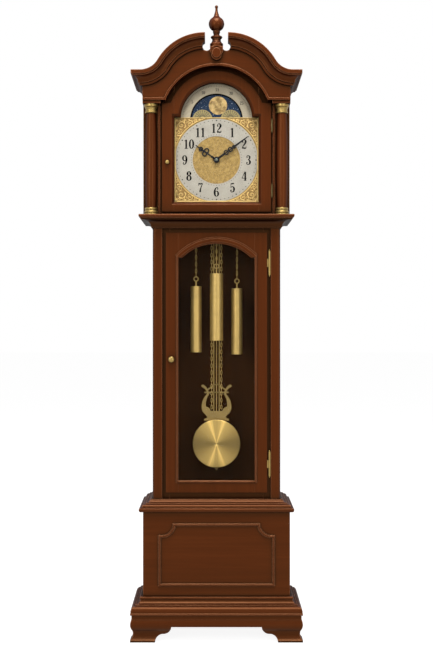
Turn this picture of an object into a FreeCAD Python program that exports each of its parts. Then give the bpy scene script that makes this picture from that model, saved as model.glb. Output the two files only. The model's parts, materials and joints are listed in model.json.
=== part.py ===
import FreeCAD
import Part
import math
import os

# Longcase clock in millimetres. The floor is z = 0, the front faces -Y, and x = 0 is the middle.

# Directions and plain numbers
UP = FreeCAD.Vector(0, 0, 1)
RIGHT = FreeCAD.Vector(1, 0, 0)
TO_BACK = FreeCAD.Vector(0, 1, 0)
ORIGIN = FreeCAD.Vector(0, 0, 0)
FULL_TURN = 360
QUARTER_BULGE = math.tan(math.pi / 8)
DOME = "dome"

# Clearances
overrun = 5
running_clearance = 0.05
sliding_clearance = 0.3

# Widths, depths and heights that set the whole case
trunk_half_width = 208
case_depth = 300
foot_height = 86
base_height = 326
trunk_height = 950
front_y = -case_depth / 2
back_y = case_depth / 2
backboard_thickness = 14
board_back_y = back_y - backboard_thickness
base_bottom = foot_height
base_top = base_bottom + base_height
hood_bottom = base_top + trunk_height

# Base box
base_step = 29.5
base_half_width = trunk_half_width + base_step
base_front_thickness = 20
base_side_thickness = 18
base_floor_rise = 18
base_floor_thickness = 16
plinth_height = 54
plinth_projection = 39.5
base_front_y = front_y + plinth_projection
plinth_shares = [(0, 0), (1, 0), (1, .09), (.95, .12), (.68, .5, -.42), (.58, .5), (.58, .57),
                 (.2, .84, .4), (.26, .86), (.26, .95), (.16, 1, -.3), (0, 1)]

# Bracket feet
foot_half_width = base_half_width + plinth_projection
foot_board_thickness = 24
apron_board_height = 37
apron_height = foot_height - apron_board_height
foot_length = 80
bracket_length = 52
foot_inner_half_width = foot_half_width - foot_length
apron_half_width = foot_inner_half_width - bracket_length
side_foot_length = 52
side_bracket_length = 36
side_foot_inner_half_width = case_depth / 2 - side_foot_length
side_apron_half_width = side_foot_inner_half_width - side_bracket_length
foot_profile_shares = [(0, 0), (1, 0), (1, .07), (.7, .42, .3), (.82, .84, -.3), (.82, 1), (0, 1)]
ogee_step_share = .48

# Applied bead on the base panel
panel_side_margin = 48.5
panel_bottom_margin = 32
panel_top_margin = 36
panel_corner_width = 47
panel_corner_height = 38
panel_half_width = base_half_width - panel_side_margin
panel_bottom = base_bottom + plinth_height + panel_bottom_margin
panel_top = base_top - panel_top_margin
panel_side_top = panel_top - panel_corner_height
panel_top_half_width = panel_half_width - panel_corner_width
panel_step = 9
panel_bead_width = 10
panel_bead_depth = 6
scallop_bulge_share = .36
scallop_lean_share = .4

# Trunk
trunk_front_y = base_front_y + base_step
trunk_drop_into_base = 30
trunk_side_thickness = 18
waist_height = 38
waist_projection = 42
waist_shares = [(0, 0), (.92, 0), (1, .14, -.3), (.93, .34, -.5), (.8, .36), (.8, .43), (.6, .62, -.35),
                (.5, .64), (.5, .71), (.2, .9, .35), (.13, .92), (.13, 1), (0, 1)]
corner_stile_width = 31
corner_stile_thickness = 18
corner_radius = 9
stop_frame_thickness = 14
stop_lap = 12
throat_height = 31
throat_bottom = hood_bottom - throat_height
throat_projection = 38
throat_shares = [(0, 0), (.07, 0), (.07, .1), (.15, .14), (.15, .22), (.84, .84, .42), (.95, .86),
                 (.95, 1), (0, 1)]

# Trunk door
door_side_margin = 43
door_bottom_margin = 20
door_top_margin = 14
door_stile_width = 41
door_rail_height = 40
door_head_height = 36
door_arch_rise = 46
door_arch_shoulder_width = 12
door_half_width = trunk_half_width - door_side_margin
door_bottom = base_top + waist_height + door_bottom_margin
door_top = throat_bottom - door_top_margin
door_thickness = 17
door_setback = 0.5
door_opening_half_width = door_half_width - door_stile_width
door_opening_bottom = door_bottom + door_rail_height
door_arch_top = door_top - door_head_height
door_opening_shoulder = door_arch_top - door_arch_rise
door_arch_half_chord = door_opening_half_width - door_arch_shoulder_width
door_arch_radius = (door_arch_half_chord ** 2 + door_arch_rise ** 2) / (2 * door_arch_rise)
stop_frame_inner_half_width = door_half_width - stop_lap
door_bead_width = 8
door_arch_bead_width = 22
door_bead_depth = 4
glass_thickness = 3
glass_lap = 6
glass_setback = 8
door_knob_inset = 18
door_knob_rise = 10.5
door_knob_x = door_knob_inset - door_half_width
door_knob_z = (door_bottom + door_top) / 2 + door_knob_rise
door_knob_radius = 10
door_knob_length = 18

# Hinges of both doors
hinge_leaf_thickness = 1.4
trunk_hinge_length = 76
trunk_hinge_radius = 3.5
trunk_hinge_pin_radius = 2
trunk_hinge_low_inset = 93
trunk_hinge_high_inset = 99
trunk_hinge_offset = 7.5
trunk_hinge_heights = [door_bottom + trunk_hinge_low_inset, door_top - trunk_hinge_high_inset]
trunk_hinge_x = door_half_width + trunk_hinge_offset
trunk_hinge_leaf_depth = 13
hood_hinge_length = 34
hood_hinge_radius = 2.5
hood_hinge_pin_radius = 1.4
hood_hinge_low_inset = 68
hood_hinge_high_inset = 74
hood_hinge_offset = 3
hood_hinge_leaf_depth = 14
hinge_tip_length = 7

# Hood door, which gives the dial its size
hood_step = 31
hood_half_width = trunk_half_width + hood_step
ledge_thickness = 12
tympanum_step = 33
tympanum_front_y = trunk_front_y - tympanum_step
hood_door_side_margin = 62
hood_door_gap = 10
hood_door_setback = 26
hood_door_stile_width = 39
hood_door_rail_height = 32
hood_door_head_rise = 43
hood_door_arch_width = 41
hood_door_arch_drop = 5
hood_door_half_width = hood_half_width - hood_door_side_margin
hood_door_bottom = hood_bottom + ledge_thickness + hood_door_gap
hood_door_front_y = tympanum_front_y + hood_door_setback
hood_door_thickness = 20
hood_opening_half_width = hood_door_half_width - hood_door_stile_width
hood_opening_bottom = hood_door_bottom + hood_door_rail_height
hood_opening_shoulder_width = 21
hood_opening_arch_radius = hood_opening_half_width - hood_opening_shoulder_width
hood_opening_bevel = 8
hood_glass_setback = 10
hood_knob_inset = 17
hood_knob_drop = 12
hood_knob_radius = 6.5
hood_knob_length = 12

# Dial
dial_rise = 3
dial_centre_z = hood_opening_bottom + hood_opening_half_width + dial_rise
hood_opening_shoulder = dial_centre_z + hood_opening_half_width
dial_lap = 2
dial_arch_lap = 1
dial_arch_drop = 6
dial_half_width = hood_opening_half_width + dial_lap
dial_arch_radius = hood_opening_arch_radius + dial_arch_lap
dial_arch_centre = hood_opening_shoulder - dial_arch_drop
dial_shoulder = dial_centre_z + dial_half_width
dial_gap = 6
dial_thickness = 2
dial_hole_radius = 7
dial_foot_radius = 3
dial_foot_x = 70
dial_foot_drop = 87
dial_foot_rise = 53
dial_foot_heights = [dial_centre_z - dial_foot_drop, dial_centre_z + dial_foot_rise]
applied_ring_thickness = 1.5
chapter_margin = 4
chapter_outer_radius = dial_half_width - chapter_margin
chapter_inner_share = .5735
chapter_inner_radius = chapter_outer_radius * chapter_inner_share
lunar_inner_share = .733
lunar_inner_radius = dial_arch_radius * lunar_inner_share
aperture_rise = 5
hump_place_share = .532
hump_radius_share = .3815
hump_x = lunar_inner_radius * hump_place_share
hump_radius = lunar_inner_radius * hump_radius_share
spandrel_margin = 4
spandrel_gap = 3
spandrel_thickness = 2
spandrel_eye_radius = 4
spandrel_eye_shares = [(.5, .5), (.18, .7), (.7, .18)]
moon_disc_lap = 3.5
moon_disc_radius = lunar_inner_radius + moon_disc_lap
moon_disc_thickness = 2
moon_disc_gap = 2
moon_radius_share = .347
moon_orbit_share = .555
moon_radius = lunar_inner_radius * moon_radius_share
moon_orbit = lunar_inner_radius * moon_orbit_share
moon_thickness = 0.6
moon_rest_angle = 6
moon_stud_radius = 2
moon_collar_radius = 5
moon_collar_thickness = 1.6

# Hood
hood_side_thickness = 16
ledge_overhang = 12
ledge_lap = 1
ledge_half_width = hood_half_width + ledge_overhang
ledge_front_y = tympanum_front_y - ledge_overhang
ledge_inner_half_width = trunk_half_width + ledge_lap
ledge_shares = [(0, 0), (.93, 0), (.93, .16), (1, .5, -.4), (.96, 1, -.4), (0, 1)]
hood_door_arch_radius = hood_opening_arch_radius + hood_door_arch_width
hood_door_arch_centre = dial_arch_centre - hood_door_arch_drop
hood_door_shoulder = hood_opening_shoulder + hood_door_head_rise
hood_hinge_heights = [hood_door_bottom + hood_hinge_low_inset, hood_door_shoulder - hood_hinge_high_inset]
hood_hinge_x = hood_door_half_width + hood_hinge_offset
hood_knob_x = hood_knob_inset - hood_door_half_width
hood_knob_z = dial_centre_z - hood_knob_drop
door_head_gap = 5
frieze_bottom = hood_door_shoulder + door_head_gap
tympanum_thickness = 22
tympanum_arch_margin = 20
tympanum_arch_drop = 8
tympanum_arch_radius = hood_door_arch_radius + tympanum_arch_margin
tympanum_arch_centre = hood_door_arch_centre - tympanum_arch_drop
tympanum_lip_width = 7
tympanum_lip_depth = 3
soffit_thickness = 10
soffit_setback = 2
soffit_gap = 4
soffit_inner_half_width = hood_door_half_width + soffit_gap
door_post_gap = 6
door_post_inner_half_width = hood_door_half_width + door_post_gap
door_post_width = 7.5
door_post_setback = 2
door_post_front_y = hood_door_front_y + door_post_setback
mask_gap = 2
mask_front_y = hood_door_front_y + hood_door_thickness + mask_gap
mask_thickness = 8
dial_front_y = mask_front_y + mask_thickness + dial_gap
column_inset = 26
column_setback = 26
column_x = hood_half_width - column_inset
column_y = tympanum_front_y + column_setback
column_radius = 17
column_foot_height = 23
column_cap_height = 29
column_brass_radius = 22
column_foot_shares = [(0, 0), (1, 0), (1, .22), (.84, .26), (.94, .48, -.6), (.82, .62, -.5), (.82, .7),
                      (.9, .84, -.5), (.8, 1, -.4), (0, 1)]
column_cap_shares = [(0, 0), (.8, 0), (.88, .08, -.5), (.8, .16, -.5), (.8, .3), (.94, .62, .3),
                     (.88, .66), (1, .74), (1, 1), (0, 1)]

# Broken-arch crown
crown_projection = 36
crown_half_width = hood_half_width + crown_projection
frieze_height = 91
crown_rise = 99
crown_arch_inset = 2
crown_end_z = frieze_bottom + frieze_height
crown_top_z = tympanum_arch_centre + tympanum_arch_radius + crown_rise
crown_gap_half_width = 37
crown_arch_radius = tympanum_arch_radius - crown_arch_inset
crown_sweep_radius = 64
crown_height = 47
crown_shares = [(0, 0), (1, 0), (1, .26), (.88, .3), (.88, .36), (.38, .74, -.4), (.38, .8), (.26, .82),
                (.2, .98, .4), (0, 1)]
crown_cap = 6
notch_x = 32
notch_drop = 37
notch_z = crown_top_z - notch_drop
notch_radius = 14
roof_drop = 8
roof_thickness = 8

# Finial and its boss
finial_drop = 39
finial_height = 136
finial_bottom = crown_top_z - finial_drop
finial_top = finial_bottom + finial_height
finial_radius = 25.2
finial_setback = 7
finial_y = tympanum_front_y + finial_setback
finial_shares = [(0, 0), (.84, 0), (.84, .08), (.56, .19, .3), (.72, .22), (.66, .26, -.5),
                 (.37, .3, .3), (.46, .35), (.46, .39), (.52, .4), (.52, .705, -.58), (.3, .78, .2),
                 (.15, .92, .1), (.2, .95), (0, 1, DOME)]
boss_half_width = 21
boss_height = 44
boss_cap_height = 14
boss_bottom = finial_bottom - boss_height
boss_seat_z = finial_bottom - boss_cap_height
boss_projection = 12
boss_front_y = tympanum_front_y - boss_projection
plaque_depth = 3
plaque_half_width = 14
plaque_low_margin = 7
plaque_high_margin = 5
plaque_bottom = boss_bottom + plaque_low_margin
plaque_top = finial_bottom - plaque_high_margin

# Hands
hand_thickness = 1.4
minute_hand_margin = 5
minute_hand_length = chapter_outer_radius - minute_hand_margin
minute_hand_angle = 54
minute_hand_stand = 11
minute_hand_front_y = dial_front_y - minute_hand_stand
hour_hand_reach = 6
hour_hand_length = chapter_inner_radius + hour_hand_reach
hour_hand_angle = 304.5
hour_hand_stand = 5.5
hour_hand_front_y = dial_front_y - hour_hand_stand
hand_boss_radius = 10
hand_shaft_half_width = 2.8
hand_tip_half_width = 0.9
minute_loop_shares = [(.3, 0, .05), (.43, 0, .05), (.54, 0, .035)]
hour_loop_shares = [(.52, .075, .08), (.74, 0, .065)]
loop_hole_share = .55

# Movement frame
plate_half_width = 90
plate_drop = 117
plate_rise = 83
plate_bottom = dial_centre_z - plate_drop
plate_top = dial_centre_z + plate_rise
plate_thickness = 3
plate_gap = 53
plate_setback = 18
front_plate_y = dial_front_y + plate_setback
back_plate_y = front_plate_y + plate_thickness + plate_gap
pillar_radius = 5
pillar_inset = 12
seatboard_thickness = 20
seatboard_front_margin = 6
seatboard_back_margin = 8
seatboard_front_y = front_plate_y - seatboard_front_margin
seatboard_back_y = back_plate_y + seatboard_back_margin
chain_slot_half_width = 6

# Wheels and pinions
arbor_radius = 2
pivot_radius = 1.5
wheel_thickness = 2.5
tooth_addendum_share = .6
tooth_root_share = .9
tooth_root_width_share = .24
tooth_tip_width_share = .1
pin_radius_share = .13
pinion_length = 7
pinion_shroud_thickness = 1
pinion_shroud_margin = 1.2
rim_share = .16
hub_radius = 6
window_half_angle = 34
spoke_count = 4
great_teeth = 72
centre_pinion_pins = 6
centre_teeth = 45
third_pinion_pins = 6
third_teeth = 48
escape_pinion_pins = 6
escape_teeth = 30
great_distance = 46.8
third_distance = 27.2
escape_distance = 23.6
third_x = 20
escape_radius = 19
escape_tooth_depth = 4
great_wheel_setback = 15
centre_wheel_setback = 26
third_wheel_setback = 36
escape_wheel_setback = 46
great_wheel_y = front_plate_y + great_wheel_setback
centre_wheel_y = front_plate_y + centre_wheel_setback
third_wheel_y = front_plate_y + third_wheel_setback
escape_wheel_y = front_plate_y + escape_wheel_setback
cannon_pins = 12
minute_teeth = 36
minute_pinion_pins = 8
hour_teeth = 32
motion_distance = 24
motion_angle = 225
motion_wheel_thickness = 1.5
cannon_pinion_length = 5
cannon_end_gap = 1
cannon_y = front_plate_y - cannon_end_gap - cannon_pinion_length
minute_wheel_stand = 4.25
minute_pinion_stand = 11.5
hour_wheel_stand = 9.85
minute_wheel_y = front_plate_y - minute_wheel_stand
minute_pinion_y = front_plate_y - minute_pinion_stand
minute_pinion_length = 4.8
hour_wheel_y = front_plate_y - hour_wheel_stand
minute_stud_tip = 1
cannon_pipe_radius = 3.5
hour_pipe_radius = 5
centre_arbor_tip = 1.5

# Anchor, crutch and back cock
anchor_rise = 58
anchor_z = dial_centre_z + anchor_rise
anchor_thickness = 4
anchor_arm_width = 4
pallet_clearance = 1
pallet_angle = 42
pallet_spread = 7
pallet_length = 5
anchor_hub_radius = 5
crutch_width = 5
crutch_thickness = 2
crutch_drop = 52
crutch_fork_length = 6
back_plate_hole_radius = 9
cock_gap = 4
cock_thickness = 3
cock_half_width = 26
cock_half_height = 14
cock_foot_width = 7

# Pendulum
pendulum_setback = 22
pendulum_length = 997
pendulum_y = back_plate_y + pendulum_setback
suspension_pin_radius = 1.5
suspension_pin_length = 18
suspension_block_half_width = 6
suspension_block_half_height = 7
suspension_block_half_depth = 3
spring_length = 22
spring_half_width = 4
spring_half_thickness = 0.4
leader_half_width = 3
leader_half_thickness = 2
yoke_drop = 70
yoke_z = anchor_z - yoke_drop
yoke_half_width = 14
yoke_half_height = 5
yoke_half_depth = 3
rod_radius = 1.8
rod_spacing = 9
bob_centre_z = anchor_z - pendulum_length
bob_radius = 80.5
bob_thickness = 14
bob_edge = 2
bob_dome = 3
lyre_thickness = 4
lyre_lap = 4
lyre_height = 126
lyre_foot_z = bob_centre_z + bob_radius - lyre_lap
lyre_half_width = 50
lyre_tail_half_width = 8
lyre_bar_rise = 93
lyre_bar_z = lyre_foot_z + lyre_bar_rise
lyre_bar_half_width = 41.5
lyre_bar_height = 4
lyre_body_share = .26
lyre_shares = [(0, 0), (.84, 0), (.84, .05), (.61, .1, .3), (.76, .17), (1, .37, -.25), (.66, .7, -.2),
               (.82, .86, .25), (.95, .89, .12), (.9, .96, -1), (.66, .88, -.15), (.5, .7, -.15),
               (.7, .37, .2), (.4, .26, -.35), (0, .26)]
lyre_peak_shares = [(0, .97), (.62, .8), (.62, .84), (0, 1)]
nut_shares = [(0, 0), (.7, 0), (1, .25), (1, .75), (.7, 1), (0, 1)]
rating_rod_radius = 2
rating_rod_end = 11
rating_nut_gap = 1.5
rating_rod_bottom = bob_centre_z - bob_radius - rating_rod_end
rating_nut_radius = 5
rating_nut_top = bob_centre_z - bob_radius - rating_nut_gap
rating_nut_height = 6

# Weights, chains and sprockets
side_sprocket_x = 42
great_arbor_x = 26
side_sprocket_drop = 84
side_sprocket_z = dial_centre_z - side_sprocket_drop
side_weight_setback = 39
centre_weight_setback = 9
left_weight_drop = 412
centre_weight_drop = 371
right_weight_drop = 419
side_weight_radius = 18.5
centre_weight_radius = 21.7
side_weight_length = 220
centre_weight_length = 222
side_tail_drop = 821
centre_tail_drop = 247
weight_edge = 1.5
weight_stem_radius = 2.5
weight_stem_height = 17
ring_radius = 7.2
ring_wire_radius = 1.7
chain_radius = 2
sprocket_radius = 26
sprocket_width = 10
sprocket_groove_width = 5.2
sprocket_flange = 3.4
side_wheel_radius = 29
side_wheel_teeth = 48
side_wheel_gap = 2

# Places given left, centre, right
chain_sides = [-1, -1, 1]
sprocket_x = [-side_sprocket_x, great_arbor_x, side_sprocket_x]
weight_y = [front_plate_y + setback
            for setback in (side_weight_setback, centre_weight_setback, side_weight_setback)]
weight_top = [dial_centre_z - drop for drop in (left_weight_drop, centre_weight_drop, right_weight_drop)]
weight_radius = [side_weight_radius, centre_weight_radius, side_weight_radius]
weight_length = [side_weight_length, centre_weight_length, side_weight_length]
tail_bottom = [dial_centre_z - drop for drop in (side_tail_drop, centre_tail_drop, side_tail_drop)]


# Plain shapes


def point(x, y, z):
    return FreeCAD.Vector(x, y, z)


def save(node, *shapes):
    solids = [solid for shape in shapes for solid in shape.Solids]
    Part.makeCompound(solids).exportStep(f"parts/{node}.step")


def block(x0, x1, y0, y1, z0, z1):
    return Part.makeBox(x1 - x0, y1 - y0, z1 - z0, point(x0, y0, z0))


def mirrored(shape):
    return shape.mirror(ORIGIN, RIGHT)


def pair(shape):
    return [shape, mirrored(shape)]


def dome_bulge(radius, rise):
    """Bulge of a round end that meets the turning axis squarely."""
    return -math.copysign(math.tan(math.atan2(abs(rise), radius) / 2), rise)


def closed_wire(outline, place):
    """Wire through (u, v) points; a third entry is the bulge, to the left, of the edge that arrives."""
    edges = []
    for index, corner in enumerate(outline):
        u0, v0 = outline[index - 1][:2]
        u1, v1 = corner[:2]
        if len(corner) == 3:
            bulge = dome_bulge(u0, v1 - v0) if corner[2] == DOME else corner[2]
            middle = place((u0 + u1 - bulge * (v1 - v0)) / 2, (v0 + v1 + bulge * (u1 - u0)) / 2)
            edges.append(Part.Arc(place(u0, v0), middle, place(u1, v1)).toShape())
        else:
            edges.append(Part.LineSegment(place(u0, v0), place(u1, v1)).toShape())
    return Part.Wire(edges)


def front_prism(outline, y0, y1):
    """Outline in x and z, as seen from the front, between two depths."""
    wire = closed_wire(outline, lambda x, z: point(x, y0, z))
    return Part.Face(wire).extrude(point(0, y1 - y0, 0))


def splayed_prism(near_outline, far_outline, y0, y1):
    """Solid with straight slopes between two outlines of one kind, at two depths."""
    near = closed_wire(near_outline, lambda x, z: point(x, y0, z))
    far = closed_wire(far_outline, lambda x, z: point(x, y1, z))
    return Part.makeLoft([near, far], True, True)


def plan_prism(outline, z0, z1):
    """Outline in x and y, as seen from above, between two heights."""
    wire = closed_wire(outline, lambda x, y: point(x, y, z0))
    return Part.Face(wire).extrude(point(0, 0, z1 - z0))


def scaled(shares, width, height, bottom):
    return [(width * share[0], bottom + height * share[1], *share[2:]) for share in shares]


def turned_upright(outline, x, y):
    """Outline in radius and height, turned about a vertical axis."""
    wire = closed_wire(outline, lambda r, z: point(x + r, y, z))
    return Part.Face(wire).revolve(point(x, y, 0), UP, FULL_TURN)


def turned_level(outline, x, z):
    """Outline in radius and depth, turned about an axis that runs front to back."""
    wire = closed_wire(outline, lambda r, y: point(x + r, y, z))
    return Part.Face(wire).revolve(point(x, 0, z), TO_BACK, FULL_TURN)


def level_rod(x, z, radius, y0, y1):
    return Part.makeCylinder(radius, y1 - y0, point(x, y0, z), TO_BACK)


def upright_rod(x, y, radius, z0, z1):
    return Part.makeCylinder(radius, z1 - z0, point(x, y, z0), UP)


def arch_half_chord(radius, centre, height):
    return math.sqrt(radius ** 2 - (height - centre) ** 2)


def arched_outline(half_width, bottom, shoulder, radius, centre, inset=0):
    """Rectangle with shoulders and a round arch above them, drawn in by an inset."""
    half_width = half_width - inset
    bottom = bottom + inset
    shoulder = shoulder - inset
    radius = radius - inset
    half_chord = arch_half_chord(radius, centre, shoulder)
    rise = (centre + radius - shoulder) / half_chord
    return [(-half_width, bottom), (half_width, bottom), (half_width, shoulder), (half_chord, shoulder),
            (-half_chord, shoulder, -rise), (-half_width, shoulder)]


def bead_round(outline_at, width, depth, face_y):
    """Stepped bead that follows an outline on a face that looks to the front."""
    middle_y = face_y - depth / 2
    lower = front_prism(outline_at(0), middle_y, face_y)
    lower = lower.cut(front_prism(outline_at(width), middle_y - overrun, face_y + overrun))
    upper = front_prism(outline_at(width / 4), face_y - depth, middle_y)
    upper = upper.cut(front_prism(outline_at(width * 3 / 4), face_y - depth - overrun,
                                  middle_y + overrun))
    return lower.fuse(upper)


def moulding_lengths(shares, half_width, front, back, bottom, projection, height):
    """Front length and two side lengths of a moulding, mitred at the corners."""
    profile = scaled(shares, projection, height, bottom)
    corner = projection + overrun
    reach = half_width + corner
    low = bottom - overrun
    high = bottom + height + overrun
    front_wire = closed_wire(profile, lambda out, z: point(-reach, front - out, z))
    front_strip = Part.Face(front_wire).extrude(point(2 * reach, 0, 0))
    front_wedge = plan_prism([(-reach, front - corner), (reach, front - corner),
                              (half_width - corner, front + corner),
                              (corner - half_width, front + corner)], low, high)
    side_wire = closed_wire(profile, lambda out, z: point(half_width + out, front - corner, z))
    side_strip = Part.Face(side_wire).extrude(point(0, back - front + corner, 0))
    side_wedge = plan_prism([(half_width - corner, front + corner), (reach, front - corner),
                             (reach, back + overrun), (half_width - corner, back + overrun)], low, high)
    return [front_strip.common(front_wedge), *pair(side_strip.common(side_wedge))]


def frame_members(frame, half_width, bottom_rail_top, top_rail_bottom, y0, y1):
    """Two stiles, a bottom rail and a top rail, cut from one frame."""
    box = frame.BoundBox
    low = box.ZMin - overrun
    high = box.ZMax + overrun
    side = box.XMax + overrun
    stile = frame.common(block(half_width, side, y0, y1, low, high))
    bottom_rail = frame.common(block(-half_width, half_width, y0, y1, low, bottom_rail_top))
    top_rail = frame.common(block(-half_width, half_width, y0, y1, top_rail_bottom, high))
    return [*pair(stile), bottom_rail, top_rail]


def hinge_leaves(axis_x, axis_y, height, length, radius, pin_radius, door_edge_x, case_edge_x,
                 leaf_depth):
    """Door leaf and case leaf of one butt hinge; the pin with its turned tips belongs to the case leaf."""
    knuckle = length / 3
    low = height - length / 2
    high = height + length / 2
    bore_radius = pin_radius + running_clearance
    pin = upright_rod(axis_x, axis_y, pin_radius, low, high)
    tip_shares = [(0, 0), (1, 0), (1, .2), (.5, .3), (.8, .55, -.4), (.3, .8), (0, 1, DOME)]
    upper_tip = turned_upright(scaled(tip_shares, radius, hinge_tip_length, high), axis_x, axis_y)
    lower_tip = upper_tip.mirror(point(axis_x, axis_y, height), UP)
    case_leaf = block(case_edge_x - hinge_leaf_thickness, case_edge_x, axis_y, axis_y + leaf_depth, low,
                      high)
    middle_gap = upright_rod(axis_x, axis_y, radius + sliding_clearance, low + knuckle, high - knuckle)
    case_leaf = case_leaf.cut(middle_gap)
    for start in (low, high - knuckle):
        case_leaf = case_leaf.fuse(upright_rod(axis_x, axis_y, radius, start, start + knuckle))
    case_leaf = case_leaf.fuse([pin, upper_tip, lower_tip])
    half_leaf = hinge_leaf_thickness / 2
    door_low = low + knuckle + sliding_clearance
    door_high = high - knuckle - sliding_clearance
    door_leaf = upright_rod(axis_x, axis_y, radius, door_low, door_high)
    web = block(door_edge_x, axis_x, axis_y - half_leaf, axis_y + half_leaf, door_low, door_high)
    plate_end_x = door_edge_x + hinge_leaf_thickness
    plate = block(door_edge_x, plate_end_x, axis_y - half_leaf, axis_y + leaf_depth, door_low, door_high)
    door_leaf = door_leaf.fuse([web, plate])
    bore = upright_rod(axis_x, axis_y, bore_radius, low, high)
    return door_leaf.cut(bore), case_leaf


def door_knob(x, z, radius, length, face_y):
    knob_shares = [(0, 0), (.55, 0), (.4, -.3, .3), (.6, -.42), (1, -.66, .3), (.7, -.94, .3),
                   (0, -1, DOME)]
    return turned_level(scaled(knob_shares, radius, length, face_y), x, z)


# Case


def apron_void(half_width, inner_half_width):
    """Opening under an apron, with an ogee bracket at each end, in width and height."""
    step_x = half_width + (inner_half_width - half_width) * ogee_step_share
    step_z = apron_height * (1 - ogee_step_share)
    right = [(half_width, apron_height), (step_x, step_z, -QUARTER_BULGE),
             (inner_half_width, 0, QUARTER_BULGE)]
    floor = [(inner_half_width, -overrun), (-inner_half_width, -overrun)]
    left = [(-inner_half_width, 0), (-step_x, step_z, QUARTER_BULGE),
            (-half_width, apron_height, -QUARTER_BULGE)]
    return right + floor + left


def make_feet():
    inner_half_width = foot_half_width - foot_board_thickness
    inner_front = front_y + foot_board_thickness
    front, right, left = moulding_lengths(foot_profile_shares, inner_half_width, inner_front, back_y, 0,
                                          foot_board_thickness, foot_height)
    front_void = front_prism(apron_void(apron_half_width, foot_inner_half_width), front_y - overrun,
                             inner_front + overrun)
    side_outline = apron_void(side_apron_half_width, side_foot_inner_half_width)
    side_wire = closed_wire(side_outline, lambda y, z: point(-foot_half_width - overrun, y, z))
    side_void = Part.Face(side_wire).extrude(point(2 * (foot_half_width + overrun), 0, 0))
    save("front_foot_board", front.cut(front_void))
    save("side_foot_boards", right.cut(side_void), left.cut(side_void))


def panel_outline(inset):
    """Base panel with square lower corners and scalloped upper corners."""
    lean = inset * scallop_lean_share
    side = panel_half_width - inset
    top = panel_top - inset
    scallop_start = (panel_half_width - panel_step - lean, panel_side_top - inset)
    scallop_end = (panel_top_half_width - inset, panel_top - panel_step - lean)
    return [(-side, panel_bottom + inset), (side, panel_bottom + inset), (side, panel_side_top - inset),
            scallop_start, (*scallop_end, scallop_bulge_share), (scallop_end[0], top),
            (-scallop_end[0], top), (-scallop_end[0], scallop_end[1]),
            (-scallop_start[0], scallop_start[1], scallop_bulge_share), (-side, panel_side_top - inset)]


def make_base():
    inner_front = base_front_y + base_front_thickness
    inner_side = base_half_width - base_side_thickness
    floor_bottom = base_bottom + base_floor_rise
    save("plinth_moulding",
         *moulding_lengths(plinth_shares, base_half_width, base_front_y, back_y, base_bottom,
                           plinth_projection, plinth_height))
    save("base_front_panel",
         block(-base_half_width, base_half_width, base_front_y, inner_front, base_bottom, base_top))
    save("base_panel_bead", bead_round(panel_outline, panel_bead_width, panel_bead_depth, base_front_y))
    side = block(inner_side, base_half_width, inner_front, board_back_y, base_bottom, base_top)
    floor = block(-inner_side, inner_side, inner_front, board_back_y, floor_bottom,
                  floor_bottom + base_floor_thickness)
    save("base_carcase", *pair(side), floor)
    save("waist_moulding",
         *moulding_lengths(waist_shares, trunk_half_width, trunk_front_y, back_y, base_top,
                           waist_projection, waist_height))


trunk_bottom = base_top - trunk_drop_into_base
stop_front_y = trunk_front_y + corner_stile_thickness
throat_top = hood_bottom - sliding_clearance
seatboard_bottom = plate_bottom - seatboard_thickness


def make_trunk():
    inner = trunk_half_width - trunk_side_thickness
    stile_inner = trunk_half_width - corner_stile_width
    cheek_front_y = mask_front_y + mask_thickness + sliding_clearance
    side = block(inner, trunk_half_width, stop_front_y, board_back_y, trunk_bottom, throat_top)
    cheek = block(inner, trunk_half_width, cheek_front_y, board_back_y, throat_top, seatboard_bottom)
    save("trunk_sides", *pair(side.fuse(cheek).removeSplitter()))
    stile_plan = [(stile_inner, stop_front_y), (stile_inner, trunk_front_y),
                  (trunk_half_width - corner_radius, trunk_front_y),
                  (trunk_half_width, trunk_front_y + corner_radius, -QUARTER_BULGE),
                  (trunk_half_width, stop_front_y)]
    corner_stile = plan_prism(stile_plan, trunk_bottom, throat_top)
    stop_back_y = stop_front_y + stop_frame_thickness
    stop_half_width = stop_frame_inner_half_width
    stop_stile = block(stop_half_width, inner, stop_front_y, stop_back_y, trunk_bottom, throat_top)
    bottom_rail = block(-stop_half_width, stop_half_width, stop_front_y, stop_back_y, trunk_bottom,
                        door_bottom + stop_lap)
    top_rail = block(-stop_half_width, stop_half_width, stop_front_y, stop_back_y,
                     door_top - stop_lap, throat_top)
    save("trunk_front_frame", *pair(corner_stile), *pair(stop_stile), bottom_rail, top_rail)
    save("throat_moulding",
         *moulding_lengths(throat_shares, trunk_half_width, trunk_front_y, back_y, throat_bottom,
                           throat_projection, throat_top - throat_bottom))


def make_seatboard():
    board = block(-trunk_half_width, trunk_half_width, seatboard_front_y, seatboard_back_y,
                  seatboard_bottom, plate_bottom)
    for axis_x, y in zip(sprocket_x, weight_y):
        for side in (-sprocket_radius, sprocket_radius):
            x = axis_x + side
            board = board.cut(block(x - chain_slot_half_width, x + chain_slot_half_width,
                                    y - chain_slot_half_width, y + chain_slot_half_width,
                                    seatboard_bottom - overrun, plate_bottom + overrun))
    save("seatboard", board)


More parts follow.
